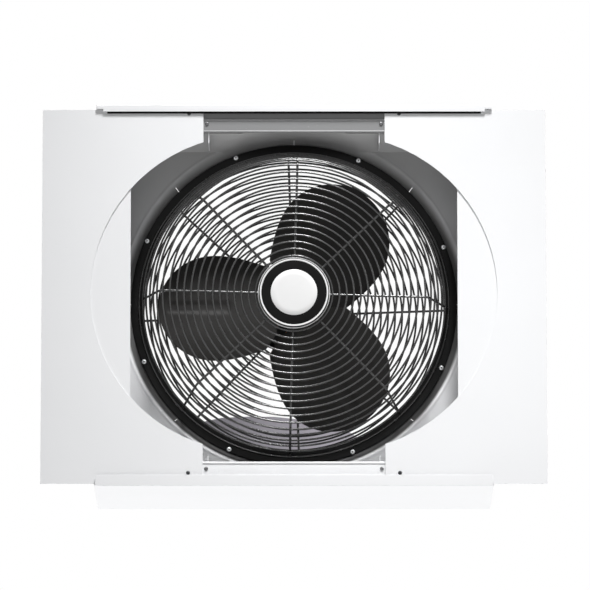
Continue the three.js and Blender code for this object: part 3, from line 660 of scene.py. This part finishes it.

# %% [markdown]
# Each panel's round cut-out reaches a little past the side flange, so a bulge of the flange closes it. A thin dark
# strip under the top lip is painted shade, the shadow line between lip and panel, and a small white tab closes each
# end of that track.

# %% Flange bulges
CUTOUT_RADIUS = 278
CUTOUT_OFFSET = 72
CUTOUT_RISE = 4.5
BULGE_MARGIN = 2.5
BULGE_START_X = 341.5
BULGE_THICKNESS = 1.5
FLANGE_FRONT_Y = -115.7
for side, sign in (("left", -1), ("right", 1)):
    bulge = start_piece(side + "_flange_bulge")
    middle = Vector((sign * CUTOUT_OFFSET, FLANGE_FRONT_Y, AXIS_Z + CUTOUT_RISE)) * MM
    bpy.ops.mesh.primitive_circle_add(vertices=256, radius=(CUTOUT_RADIUS + BULGE_MARGIN) * MM, fill_type="NGON",
                                      location=middle, rotation=(pi / 2, 0, 0))
    bpy.ops.mesh.bisect(plane_co=(sign * BULGE_START_X * MM, 0, 0), plane_no=(-sign, 0, 0), clear_outer=True)
    close_piece(bulge)
    facing = 1 if bulge.data.polygons[0].normal.y > 0 else -1
    apply_modifier(bulge, "SOLIDIFY", thickness=BULGE_THICKNESS * MM, offset=facing)
    shade(30)
    dress(bulge, housing_enamel, "white_enamel")

# %% Shade strip and tabs of the top track
SHADE_STRIP_MIDDLE = (0, -118.75, 654.8)
SHADE_STRIP_SIZE = (646, 2.1, 3.4)
TAB_MIDDLE = (335.75, -120.75, 663.6)
TAB_SIZE = (12.3, 1.5, 6.8)
# A thin black strip under the top lip: painted shade, the shadow line between lip and panel.
shade_strip = start_piece("top_track_felt")
add_block(Vector(SHADE_STRIP_MIDDLE) * MM, SHADE_STRIP_SIZE, edge=0.4)
dress(close_piece(shade_strip), black_plastic, "black_plastic")
for side, sign in (("left", -1), ("right", 1)):
    tab = start_piece(f"top_{side}_track_tab")
    add_block(Vector((sign * TAB_MIDDLE[0], *TAB_MIDDLE[1:])) * MM, TAB_SIZE, edge=0.3)
    dress(close_piece(tab), housing_enamel, "white_enamel")

# %% [markdown]
# The orifice panel is drawn in a press: a tight bead runs round the inlet, then the sheet curves back to the flange
# behind the black ring. The smooth lip is what shows, so a profile that reaches past the plate's corners is turned
# and trimmed square. Above a crease the top leans forward to the rail, which hides the top of the bead.

# %% Orifice panel
ORIFICE_Y = -44.5
CREASE_Z = 601
LEAN_END_Z = 619
LEAN_REACH = 66
LIP_INNER = 284
LIP_OUTER = 300
PLATE_REACH = 480
SHEET_THICKNESS = 1.5
plate_low, plate_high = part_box("orifice_panel")
drawn_lip = shifted([
    (PLATE_REACH, 0), (303, 0), (301.5, -0.15), (300.3, -0.6), (299, -0.75), (297.7, -0.5), (296.4, 0.1), (295, 1),
    (293.2, 2.6), (291.2, 4.7), (288.8, 7.4), (286.6, 10.2), (285.2, 12.4), (284.2, 13.6), (282.9, 14.2),
    (281, 14.3), (268, 14.3)], ORIFICE_Y)
orifice_panel = start_piece("orifice_panel_sheet")
turn(drawn_lip, steps=144, closed=False)
for place, normal in (
        (plate_low, (-1, 0, 0)), (plate_high, (1, 0, 0)), (plate_low, (0, 0, -1)), (plate_high, (0, 0, 1))):
    select_mesh()
    bpy.ops.mesh.bisect(plane_co=place, plane_no=normal, clear_outer=True)
for crease_z in (CREASE_Z, LEAN_END_Z):
    select_mesh()
    bpy.ops.mesh.bisect(plane_co=(0, 0, crease_z * MM), plane_no=(0, 0, 1))
close_piece(orifice_panel, 30)
for vertex in orifice_panel.data.vertices:
    radius = (vertex.co - AXIS_CENTRE).xz.length / MM
    rise = min(max((vertex.co.z / MM - CREASE_Z) / (LEAN_END_Z - CREASE_Z), 0), 1)
    vertex.co.y -= LEAN_REACH * MM * rise * smooth_step(LIP_INNER, LIP_OUTER, radius)
front_face = max(orifice_panel.data.polygons, key=lambda face: face.area)
inwards = 1 if front_face.normal.y > 0 else -1
apply_modifier(orifice_panel, "SOLIDIFY", thickness=SHEET_THICKNESS * MM, offset=inwards)

# %% [markdown]
# Eight short slits in the drawn lip relieve the sheet. They are cut by a thin block, which is modelled once, set
# round the inlet and taken away with a Boolean modifier.

# %% Slits in the lip
SLIT_COUNT = 8
SLIT_INNER = 279
SLIT_OUTER = 291
SLIT_WIDTH = 1.2
SLIT_Y = -34
SLIT_DEPTH = 24
slit_tool = start_piece("slit_tool")
add_block(spot((SLIT_INNER + SLIT_OUTER) / 2, SLIT_Y), (SLIT_OUTER - SLIT_INNER, SLIT_DEPTH, SLIT_WIDTH))
repeat_round(SLIT_COUNT)
cut_away(orifice_panel, slit_tool, 30)
dress(orifice_panel, plate_enamel, "white_enamel", "orifice_panel")

# %% [markdown]
# The black ring carries both guards and closes the gap round the blades. It is rolled from sheet: a flat flange in
# front, a tight inner bend that shines as a thin line, and a wall that runs back past the blade tips.

# %% Fan ring
RING_INNER = 259.6
RING_OUTER = 282.6
RING_FRONT_Y = -32.5
RING_BACK_Y = -30.5
RING_WALL_END_Y = -16.5
ring_profile = rounded([
    (RING_INNER, RING_FRONT_Y), (RING_OUTER, RING_FRONT_Y), (RING_OUTER, RING_BACK_Y),
    (RING_INNER + 2, RING_BACK_Y), (RING_INNER + 2, RING_WALL_END_Y), (RING_INNER, RING_WALL_END_Y),
], 1.0)
fan_ring = turned_piece("fan_ring_rolled", ring_profile, steps=144, smooth_angle=50)
dress(fan_ring, ring_enamel, "black_enamel", "fan_ring")

# %% [markdown]
# All small screws are alike: a low domed head with a cross recess. One of each size is modelled on the fan's axis,
# the recess is cut with two thin blocks, and copies go to the places that the CAD gives.

# %% Modelling a screw
RECESS_LENGTH = 1.25
RECESS_WIDTH = 0.34
RECESS_DEPTH = 1.1


def screw_piece(name, head, shank, facing=-1):
    """A screw on the axis with its seat at y = 0. Head and shank are radius and height, facing is -1 to the room"""
    (head_radius, head_height), (shank_radius, shank_length) = head, shank
    dome = [(0, 1), (0.35, 0.98), (0.62, 0.9), (0.84, 0.7), (0.96, 0.4), (1, 0.12), (0.98, 0)]
    outline = [(share * head_radius, facing * rise * head_height) for share, rise in dome]
    outline += [(shank_radius, 0), (shank_radius, -facing * shank_length), (0, -facing * shank_length)]
    piece = turned_piece(name, outline, steps=24, smooth_angle=40)
    tool = start_piece("recess_tool")
    for across, up in ((RECESS_LENGTH, RECESS_WIDTH), (RECESS_WIDTH, RECESS_LENGTH)):
        size = (across * head_radius, RECESS_DEPTH * head_height, up * head_radius)
        add_block(spot(0, facing * head_height), size)
    cut_away(piece, tool, use_self=True)
    return piece


def place_screws(model, nodes, seat_y, finish, slot, outwards=0):
    """Copies of a screw at the middle of each named node, or a little further from the fan's axis"""
    for node, body in nodes:
        low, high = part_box(node)
        middle = (low + high) / 2
        radial = Vector((middle.x, 0, middle.z - AXIS_CENTRE.z)).normalized()
        middle += radial * outwards * MM
        move = (middle.x, seat_y * MM, middle.z - AXIS_CENTRE.z)
        dress(copy_of(model, node + "_cross", move), finish, slot, node, body=body)
    bpy.data.objects.remove(model)


# %% Screws in their places
RING_SCREW_SEAT_Y = -32.8
RING_SCREW_SHIFT = 2.5
RAIL_SCREW_SEAT_Y = -114.2
LOCK_SCREW_SEAT_Y = -117.8
MOTOR_SCREW_SEAT_Y = 68.5
place_screws(
    screw_piece("pan_screw", head=(4.2, 2.2), shank=(2, 7)),
    [(f"ring_screw_{i}", "housing") for i in range(1, 9)],
    RING_SCREW_SEAT_Y, bright_steel, "bare_steel", RING_SCREW_SHIFT)
# The rails' screws wear the dark steel of painted shade.
place_screws(
    screw_piece("rail_screw", head=(3.4, 1.4), shank=(2, 7)),
    [(f"rail_screw_{level}_{side}", "housing") for level in ("upper", "lower") for side in ("left", "right")],
    RAIL_SCREW_SEAT_Y, dull_steel, "bare_steel")
place_screws(
    screw_piece("lock_screw", head=(3.4, 1.4), shank=(1.8, 1.8)),
    [(f"{side}_panel_screw_{end}", f"{side}_side_panel") for side in ("left", "right") for end in ("top", "bottom")],
    LOCK_SCREW_SEAT_Y, black_oxide, "black_oxide")
place_screws(
    screw_piece("motor_screw", head=(3.4, 2.2), shank=(2, 5), facing=1),
    [(f"motor_screw_{i}", "housing") for i in range(1, 5)], MOTOR_SCREW_SEAT_Y, bright_steel, "bare_steel")

# %% [markdown]
# A small dark plug in the middle of each ring screw stands for the shade at the bottom of its recess.

# %% Dark middles of the ring screws
PLUG_Y = -34.5
PLUG_RADIUS = 1.5
PLUG_DEPTH = 1.2
plugs = start_piece("ring_screw_recesses")
for i in range(1, 9):
    low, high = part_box(f"ring_screw_{i}")
    middle = (low + high) / 2
    middle.y = AXIS_CENTRE.y
    middle += (middle - AXIS_CENTRE).normalized() * RING_SCREW_SHIFT * MM
    middle.y = PLUG_Y * MM
    bpy.ops.mesh.primitive_cylinder_add(
        vertices=16, radius=PLUG_RADIUS * MM, depth=PLUG_DEPTH * MM, rotation=(pi / 2, 0, 0), location=middle)
dress(close_piece(plugs), black_oxide, "black_oxide")

# %% [markdown]
# A guard is welded from round wire: rings lie on eight thicker spokes, which run out from the middle, bend round the
# shoulder and go back along the skirt to the rim. Curves with a bevel could stand for the wires, but tubes spun in
# edit mode give clean rings with few faces. The spokes sink a little into the rings, as a weld does.

# %% Wire guards
RING_WIRE = 1.75
SPOKE_WIRE = 2.0
WELD_DEPTH = 0.3
WIRE_SIDES = 8
RING_STEPS = 96
SPOKE_COUNT = 8
RING_PITCH = 12.3
SHOULDER_WIDTH = 10
SHOULDER_DEPTH = 8
SKIRT_RINGS = 6
SPOKE_BEND = 12
BEND_STEPS = 6
SPOKE_START = 54
SPOKE_SETBACK = 1.8


def add_wire_end(place, wire, tilt):
    bpy.ops.mesh.primitive_circle_add(vertices=WIRE_SIDES, radius=wire * MM, location=place, rotation=(0, tilt, 0))


def guard_piece(name, face_rings, face_end, face_y, rim_radius, rim_y):
    """A guard from its face back to its rim, left in edit mode. Its rings are spun and its spokes bent in place"""
    back = 1 if rim_y > face_y else -1
    skirt_start = Vector((face_end + SHOULDER_WIDTH, face_y + back * SHOULDER_DEPTH))
    rim = Vector((rim_radius, rim_y))
    piece = start_piece(name)
    rings = [Vector((face_end - i * RING_PITCH, face_y)) for i in range(face_rings)]
    rings += [skirt_start.lerp(rim, i / (SKIRT_RINGS - 1)) for i in range(SKIRT_RINGS)]
    for radius, y in rings:
        add_wire_end(spot(radius, y), RING_WIRE, 0)
        spin_selected(RING_STEPS)
    select_mesh(False)

    inset = RING_WIRE + SPOKE_WIRE - WELD_DEPTH
    along = (rim - skirt_start).normalized()
    inwards = Vector((-abs(along.y), back * along.x))
    line_start = skirt_start + inwards * inset
    spoke_y = face_y + back * inset
    corner = line_start + along * ((spoke_y - line_start.y) / along.y)
    bend_angle = acos(along.x)
    tangent = SPOKE_BEND * tan(bend_angle / 2)
    bend_start = corner.x - tangent
    bend_end = corner + along * tangent
    spoke_end = rim + inwards * inset - along * SPOKE_SETBACK
    add_wire_end(spot(SPOKE_START, spoke_y), SPOKE_WIRE, pi / 2)
    run = (bend_start - SPOKE_START) * MM
    extrude((run, 0, 0))
    spin_selected(BEND_STEPS, -back * bend_angle, spot(bend_start, spoke_y + back * SPOKE_BEND), (0, 0, 1))
    drop = (spoke_end - bend_end) * MM
    extrude((drop.x, drop.y, 0))
    bpy.ops.mesh.select_linked()
    bpy.ops.mesh.fill_holes(sides=WIRE_SIDES)
    repeat_round(SPOKE_COUNT)
    select_mesh(False)
    return piece


def finish_guard(wires, node, angle):
    """Closes a guard, turns it about the fan's axis and dresses it"""
    close_piece(wires, 60)
    guard = copy_of(wires, node + "_welded", turn_by=angle)
    bpy.data.objects.remove(wires)
    dress(guard, wire_enamel, "black_enamel", node)


# %% Front guard
FRONT_FACE_Y = -132.5
FRONT_TURN = radians(-1.5)
front_wires = guard_piece(
    "front_guard_wires", face_rings=14, face_end=225.9, face_y=FRONT_FACE_Y, rim_radius=268.5, rim_y=-34.3)
badge_plate = [(0.01, -134.5), (55.6, -134.5), (55.6, -130.9), (0.01, -130.9)]
turn(rounded(badge_plate, 0.8), steps=48)
finish_guard(front_wires, "front_guard", FRONT_TURN)

# %% [markdown]
# The rear guard is a wider guard the other way round, and it carries the motor. It is turned by a few degrees from
# the front one, which gives the crossing pattern that shows through the fan.

# %% Rear guard and motor plate
REAR_FACE_Y = 73.7
REAR_TURN = radians(2)
rear_wires = guard_piece(
    "rear_guard_wires", face_rings=17, face_end=262.8, face_y=REAR_FACE_Y, rim_radius=274, rim_y=-28.8)
finish_guard(rear_wires, "rear_guard", REAR_TURN)
plate = softened("motor_mount_plate", "motor_plate_pressed", 0.4)
dress(plate, ring_enamel, "black_enamel", "motor_mount_plate")

# %% [markdown]
# The badge closes the middle of the front guard. A white rim stands round a black cap, with a groove made black as
# painted shade and a thin white foot behind it, and a slightly crowned white disc lies on the cap. Both faces are
# bare.

# %% Badge
BADGE_FACE_Y = -141.8
BADGE_BACK_Y = -134.8
badge_rim = turned_piece("badge_rim_moulded", rounded([
    (56.2, -137.6), (56.2, BADGE_FACE_Y), (58.9, BADGE_FACE_Y), (59.1, -141.2), (58.9, -139.2), (58, -138.6),
], 0.4), rounded([
    (57.8, -136.6), (60.7, -136.6), (60.8, -138.2), (61.9, -138.2), (62.1, BADGE_BACK_Y), (57.8, BADGE_BACK_Y),
], 0.25), steps=72, smooth_angle=40)
dress(badge_rim, white_plastic, "white_plastic", "badge_rim")
# The groove is a black ring: painted shade between the rim and its foot.
badge_groove = turned_piece("badge_groove", [
    (56.6, -139.6), (59.9, -140.6), (60.4, -140.1), (60.7, -139), (60.7, -136.3), (56.6, -136.3)], steps=72)
dress(badge_groove, black_plastic, "black_plastic")
badge_cap = turned_piece("badge_cap_moulded", [
    (0.01, BADGE_BACK_Y), (56, BADGE_BACK_Y), (56, -141.1), (55.5, -141.6), (54.5, BADGE_FACE_Y + 0.02),
    (41.5, -142.0), (40.6, -142.0), (0.01, -142.0)], steps=72)
dress(badge_cap, black_plastic, "black_plastic", "badge_cap")
badge_disc = turned_piece("badge_disc_moulded", [
    (0.01, -142.1), (39.9, -142.1), (40, -142.35), (39.6, -142.62), (30, -142.9), (18, -143.1), (0.01, -143.2)],
    steps=72)
dress(badge_disc, white_plastic, "white_plastic", "badge_disc")

# %% [markdown]
# A blade is one pressed sheet: a wedge at the root and a round tip, pitched and curved across, with a shallow rib
# along its middle. A flat grid's points are moved in code, and Solidify gives the sheet its thickness.

# %% Blade planform
BLADE_Y = -1.5
BLADE_CENTRE = 137.6
BLADE_RADIUS = 97.4
BLADE_PITCH = radians(14)
BLADE_CAMBER = 5
ROOT_START = 30
ROOT_END = 48
ROOT_SLOPE = tan(radians(58))
ROOT_SHARE = 0.12
TIP_SHARE = 0.48
TIP_LAST_ANGLE = radians(3)
RIB_START = 105
RIB_END = 222
RIB_HALF_WIDTH = 8.5
RIB_DEPTH = 1.6


def blade_station(share):
    """Distance from the axis and half width of the blade, from its root at 0 to its tip at 1"""
    root_width = ROOT_END * ROOT_SLOPE
    if share < ROOT_SHARE:
        reach = ROOT_START + (ROOT_END - ROOT_START) * share / ROOT_SHARE
        return reach, reach * ROOT_SLOPE
    if share < TIP_SHARE:
        along = (share - ROOT_SHARE) / (TIP_SHARE - ROOT_SHARE)
        reach = ROOT_END + (BLADE_CENTRE - ROOT_END) * along
        return reach, root_width + (BLADE_RADIUS - root_width) * sin(along * pi / 2)
    angle = pi / 2 + (TIP_LAST_ANGLE - pi / 2) * (share - TIP_SHARE) / (1 - TIP_SHARE)
    return BLADE_CENTRE + BLADE_RADIUS * cos(angle), BLADE_RADIUS * sin(angle)


def blade_level(reach, across):
    share = across / BLADE_RADIUS
    level = BLADE_Y - across * tan(BLADE_PITCH) + BLADE_CAMBER * (share * share - 0.5)
    inside = smooth_step(RIB_HALF_WIDTH + 3, RIB_HALF_WIDTH - 2, abs(across))
    along = smooth_step(RIB_START, RIB_START + 12, reach) * smooth_step(RIB_END, RIB_END - 10, reach)
    return level + RIB_DEPTH * inside * along


# %% Blades
BLADE_THICKNESS = 1.5
BLADE_EDGE = 0.35
pick()
bpy.ops.mesh.primitive_grid_add(x_subdivisions=56, y_subdivisions=48, size=1)
blade_model = bpy.context.active_object
for vertex in blade_model.data.vertices:
    reach, half_width = blade_station(vertex.co.x + 0.5)
    across = 2 * vertex.co.y * half_width
    vertex.co = Vector((reach, blade_level(reach, across), AXIS_Z + across)) * MM
apply_modifier(blade_model, "SOLIDIFY", thickness=BLADE_THICKNESS * MM, offset=0)
apply_modifier(
    blade_model, "BEVEL", width=BLADE_EDGE * MM, segments=2, limit_method="ANGLE", angle_limit=radians(50))
shade(40)
for number in (1, 2, 3):
    blade = copy_of(blade_model, f"blade_{number}_pressed", turn_by=pi + FULL_TURN * (number - 1) / 3)
    dress(blade, blade_paint, "blade_paint", f"blade_{number}", body="rotor")
bpy.data.objects.remove(blade_model)

# %% [markdown]
# The spider holds the blades from behind. It, the shaft and its nut are softened copies of their solids, because
# only their edges need work.

# %% Spider, shaft and nut
spider = softened("blade_spider", "blade_spider_cast", 0.5)
dress(spider, blade_paint, "blade_paint", "blade_spider", body="rotor")
shaft = softened("motor_shaft", "motor_shaft_ground", 0.5, 3, 50)
dress(shaft, bright_steel, "bare_steel", "motor_shaft", body="rotor")
nut = softened("hub_nut", "hub_nut_chamfered", 0.7)
dress(nut, bright_steel, "bare_steel", "hub_nut", body="rotor")

# %% [markdown]
# The motor stands between the blades and the rear guard. Its two end bells are pressed cups with round shoulders, a
# seam where they meet and slots for air. Each is a turned shell with slots cut by blocks.

# %% Motor bells
MOTOR_RADIUS = 62
MOTOR_FRONT_Y = 14.5
MOTOR_BACK_Y = 65.9
MOTOR_MIDDLE_Y = (MOTOR_FRONT_Y + MOTOR_BACK_Y) / 2
VENT_COUNT = 12
VENT_RADIUS = 37
VENT_SIZE = (18, 12, 5.4)


def bell_piece(name, closed_y, inward):
    """One end bell, from its end wall to the seam in the middle of the motor"""
    def inside(depth):
        return closed_y + inward * depth

    rim_y = MOTOR_MIDDLE_Y - inward * 0.15
    outline = [
        (9, inside(0)), (20, inside(0)), (22, inside(0.9)), (50, inside(0.9)), (55.5, inside(1.6)),
        (59.5, inside(4.2)), (61.6, inside(8)), (61.6, rim_y - inward * 5), (MOTOR_RADIUS, rim_y - inward * 4.4),
        (MOTOR_RADIUS, rim_y), (59.6, rim_y), (59.6, inside(8.4)), (56.5, inside(5.4)), (52, inside(3.6)),
        (19.3, inside(3.6)), (19.3, inside(10.5)), (16.3, inside(10.5)), (16.3, inside(2.5)), (9, inside(2.5)),
    ]
    piece = turned_piece(name, outline, steps=72, smooth_angle=40)
    tool = start_piece("vent_tool")
    add_block(spot(VENT_RADIUS, closed_y, pi / VENT_COUNT), VENT_SIZE, tilt=-pi / VENT_COUNT)
    repeat_round(VENT_COUNT)
    cut_away(piece, tool)
    return piece


for node, closed_y, inward in (("motor_front_bell", MOTOR_FRONT_Y, 1), ("motor_rear_bell", MOTOR_BACK_Y, -1)):
    dress(bell_piece(node + "_vented", closed_y, inward), motor_paint, "motor_paint", node)

# %% [markdown]
# Behind the rear guard a moulded cup holds the speed switch and the capacitor. The knob has shallow flutes and a
# raised pointer, and the gland below has a hexagon for a spanner. No cord is shown, so none is made.

# %% Switch cup, gland and knob
CUP_BACK_Y = 104.5
GLAND_PLACE = (0, 88.5, AXIS_Z - 43)
cup = turned_piece("switch_cup_moulded", shifted([
    (3.6, 0), (19, 0), (20, -0.6), (34, -0.6), (38.5, -1.2), (41.8, -3.2), (43.4, -6.5), (43.7, -32), (44, -32.6),
    (44, -36), (42, -36), (42, -6.5), (38.6, -3), (34, -2), (3.6, -2)], CUP_BACK_Y), steps=72, smooth_angle=40)
gland_hole = start_piece("gland_hole_tool")
bpy.ops.mesh.primitive_cylinder_add(vertices=24, radius=6.8 * MM, depth=14 * MM, location=Vector(GLAND_PLACE) * MM)
cut_away(cup, gland_hole)
dress(cup, black_plastic, "black_plastic", "switch_housing")
dress(softened("cord_gland", "cord_gland_moulded", 0.4), black_plastic, "black_plastic", "cord_gland")

# %% [markdown]
# The knob's stem is a shell of its own that overlaps the knob. The solver that cuts the flutes doesn't settle such
# a pair the same way in every run, and at times loses the hidden stem.

# %% Speed knob
KNOB_FRONT_Y = 104.8
KNOB_BACK_Y = 115.8
FLUTES = 18
POINTER_RADIUS = 6.2
POINTER_SIZE = (2.4, 3, 11.6)
knob = start_piece("speed_knob_fluted")
turn([
    (0.01, KNOB_FRONT_Y), (15, KNOB_FRONT_Y), (15, KNOB_FRONT_Y + 2.2), (14.2, KNOB_FRONT_Y + 2.8),
    (13.8, KNOB_BACK_Y - 2), (13.2, KNOB_BACK_Y - 0.7), (12, KNOB_BACK_Y), (0.01, KNOB_BACK_Y)], steps=72)
turn([(0.01, KNOB_FRONT_Y - 8.7), (3, KNOB_FRONT_Y - 8.7), (3, KNOB_FRONT_Y + 0.3), (0.01, KNOB_FRONT_Y + 0.3)],
     steps=20)
close_piece(knob, 40)
flute_tool = start_piece("flute_tool")
bpy.ops.mesh.primitive_cylinder_add(
    vertices=10, radius=1.1 * MM, depth=9 * MM, rotation=(pi / 2, 0, 0), location=spot(14.9, KNOB_FRONT_Y + 8))
repeat_round(FLUTES)
cut_away(knob, flute_tool)
bpy.ops.object.mode_set(mode="EDIT")
select_mesh(False)
add_block(spot(POINTER_RADIUS, KNOB_BACK_Y, pi / 2), POINTER_SIZE, edge=0.5)
close_piece(knob, 40)
dress(knob, black_plastic, "black_plastic", "speed_knob", body="knob")

# %% [markdown]
# The pieces inside the motor and the cup barely show, so they keep their solids and only get their finishes.

# %% Finishes of the hidden pieces
hidden_finishes = {
    "rotor_core": laminations, "stator_core": laminations, "winding_front": copper, "winding_rear": copper,
    "front_bearing": bright_steel, "rear_bearing": bright_steel, "capacitor": bright_steel,
    "rotary_switch": black_plastic,
}
for node, finish in hidden_finishes.items():
    frame["nodes"][node].data.materials.clear()
    frame["nodes"][node].data.materials.append(finish)
print("hidden pieces finished:", sorted(hidden_finishes))
left_showing = [name for name, item in frame["nodes"].items() if not item.hide_render]
print("nodes left showing:", left_showing)

# %% [markdown]
# The room is a plain studio. Its floor should be a pale plane with a hole under the housing, but an outset adds no
# faces round a lone face, so the mesh comes out empty, as this cell prints. All looks were set without a floor, and
# the surround's glow from straight below stands for the light that one throws back.

# %% Floor
FLOOR_REACH = 4
HOLE_MARGIN = 0.012
pick()
bpy.ops.mesh.primitive_plane_add(size=1)
floor = bpy.context.active_object
floor.name = "floor"
housing_low, housing_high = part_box("housing_bottom")
bpy.ops.object.mode_set(mode="EDIT")
bpy.ops.transform.resize(value=(
    housing_high.x - housing_low.x - 2 * HOLE_MARGIN, housing_high.y - housing_low.y - 2 * HOLE_MARGIN, 1))
bpy.ops.mesh.inset(thickness=FLOOR_REACH, use_outset=True)
bpy.ops.mesh.delete(type="FACE")
bpy.ops.object.mode_set(mode="OBJECT")
bpy.ops.object.transform_apply(location=True, rotation=True, scale=True)
print("floor faces:", len(floor.data.polygons), "floor size:", tuple(floor.dimensions))
floor_finish = Finish("floor_paint", {"Base Color": grey(0.55), "Roughness": 0.9, "Specular IOR Level": 0})


def stage_piece(piece, finish):
    """Dresses a piece of the studio. The camera looks through its back, because it stands low"""
    camera_ray = finish.node("ShaderNodeLightPath", output="Is Camera Ray")
    from_behind = finish.node("ShaderNodeNewGeometry", output="Backfacing")
    mixed = finish.node("ShaderNodeMixShader", (), {
        0: camera_ray * from_behind, 1: Level(finish, finish.shader.outputs[0]),
        2: finish.node("ShaderNodeBsdfTransparent")})
    finish.plug(finish.tree.nodes["Material Output"].inputs["Surface"], mixed)
    piece.data.materials.append(finish.material)


stage_piece(floor, floor_finish)

# %% [markdown]
# Low behind the fan, the photograph shows a grey patch through the guards. What it is can't be told, so a small grey
# card of the studio stands for it.

# %% Grey card
CARD_Y = 123.5
card_outline = [(-180, 74), (-180, 150), (-150, 157), (-127, 162), (-75, 164.5), (-33, 163.8), (10, 159),
                (53, 148), (95, 138), (125, 118), (125, 74)]
card = start_piece("studio_card")
draw_line([Vector((x, CARD_Y, z)) * MM for x, z in card_outline])
bpy.ops.mesh.edge_face_add()
pick(card)
if card.data.polygons[0].normal.y > 0:
    card.data.flip_normals()
# The card's grey is its own glow, not lamp light: painted shade, darker at the left and lighter at the right.
card_glow = Finish("card_grey", {"Base Color": grey(0.05), "Roughness": 0.9, "Specular IOR Level": 0,
                                   "Emission Strength": 1.0})
card_x = card_glow.node("ShaderNodeSeparateXYZ", (), {
    0: card_glow.node("ShaderNodeTexCoord", output="Object")}, "X")
card_glow.set({"Emission Color": card_glow.between(
    card_glow.fade(card_x, -170, 60), (0.15, 0.145, 0.16, 1), (0.36, 0.34, 0.38, 1))})
stage_piece(card, card_glow)
print("card faces:", len(card.data.polygons))

# %% [markdown]
# The surround is white where the camera or a reflection sees it, but lights the fan only faintly, apart from the
# glow from straight below. A plain white world would be simpler, but it would wash out all the shade.

# %% White surround
SURROUND_LEVEL = 0.03
BELOW_LEVEL = 1.5
BELOW_SLOPE = -0.5
world = bpy.data.worlds.new("surround")
world.use_nodes = True
bpy.context.scene.world = world
surround = Shading(world.node_tree)
camera_ray, glossy_ray, transmission_ray = (
    surround.node("ShaderNodeLightPath", output=f"Is {kind} Ray") for kind in ("Camera", "Glossy", "Transmission"))
seen = camera_ray.maths("MAXIMUM", camera_ray, glossy_ray.maths("MAXIMUM", glossy_ray, transmission_ray))
height = surround.node("ShaderNodeSeparateXYZ", (), {
    0: surround.node("ShaderNodeTexCoord", output="Generated")}, "Z")
below = height.maths("LESS_THAN", height, BELOW_SLOPE)
lamp_level = SURROUND_LEVEL + below * (BELOW_LEVEL - SURROUND_LEVEL)
background = surround.tree.nodes["Background"]
surround.plug(background.inputs["Color"], (1, 1, 1, 1))
surround.plug(background.inputs["Strength"], lamp_level + seen * (1 - lamp_level))
print("surround level:", SURROUND_LEVEL)

# %% [markdown]
# The wide lamp stands high in front of the fan and the small one low at the right. Both are narrow in spread, so
# they leave soft but clear shade behind the wires.

# %% Lamps
def softbox(name, place, target, size, watts, spread):
    bpy.ops.object.light_add(type="AREA", location=place)
    lamp = bpy.context.active_object
    lamp.name = name
    lamp.data.shape = "RECTANGLE"
    lamp.data.size, lamp.data.size_y = size
    lamp.data.energy = watts
    lamp.data.spread = radians(spread)
    lamp.rotation_euler = (Vector(target) - Vector(place)).to_track_quat("-Z", "Y").to_euler()
    print(name, "at", place, "with", watts, "W")


softbox("key_softbox", (0.42, -1.72, 4.2), (0.05, -0.12, 0), (1.0, 0.9), 13.2, 30)
softbox("right_softbox", (1.5, -1.9, 0.9), (0.65, -0.1, 0.2), (0.6, 0.6), 0.4, 30)
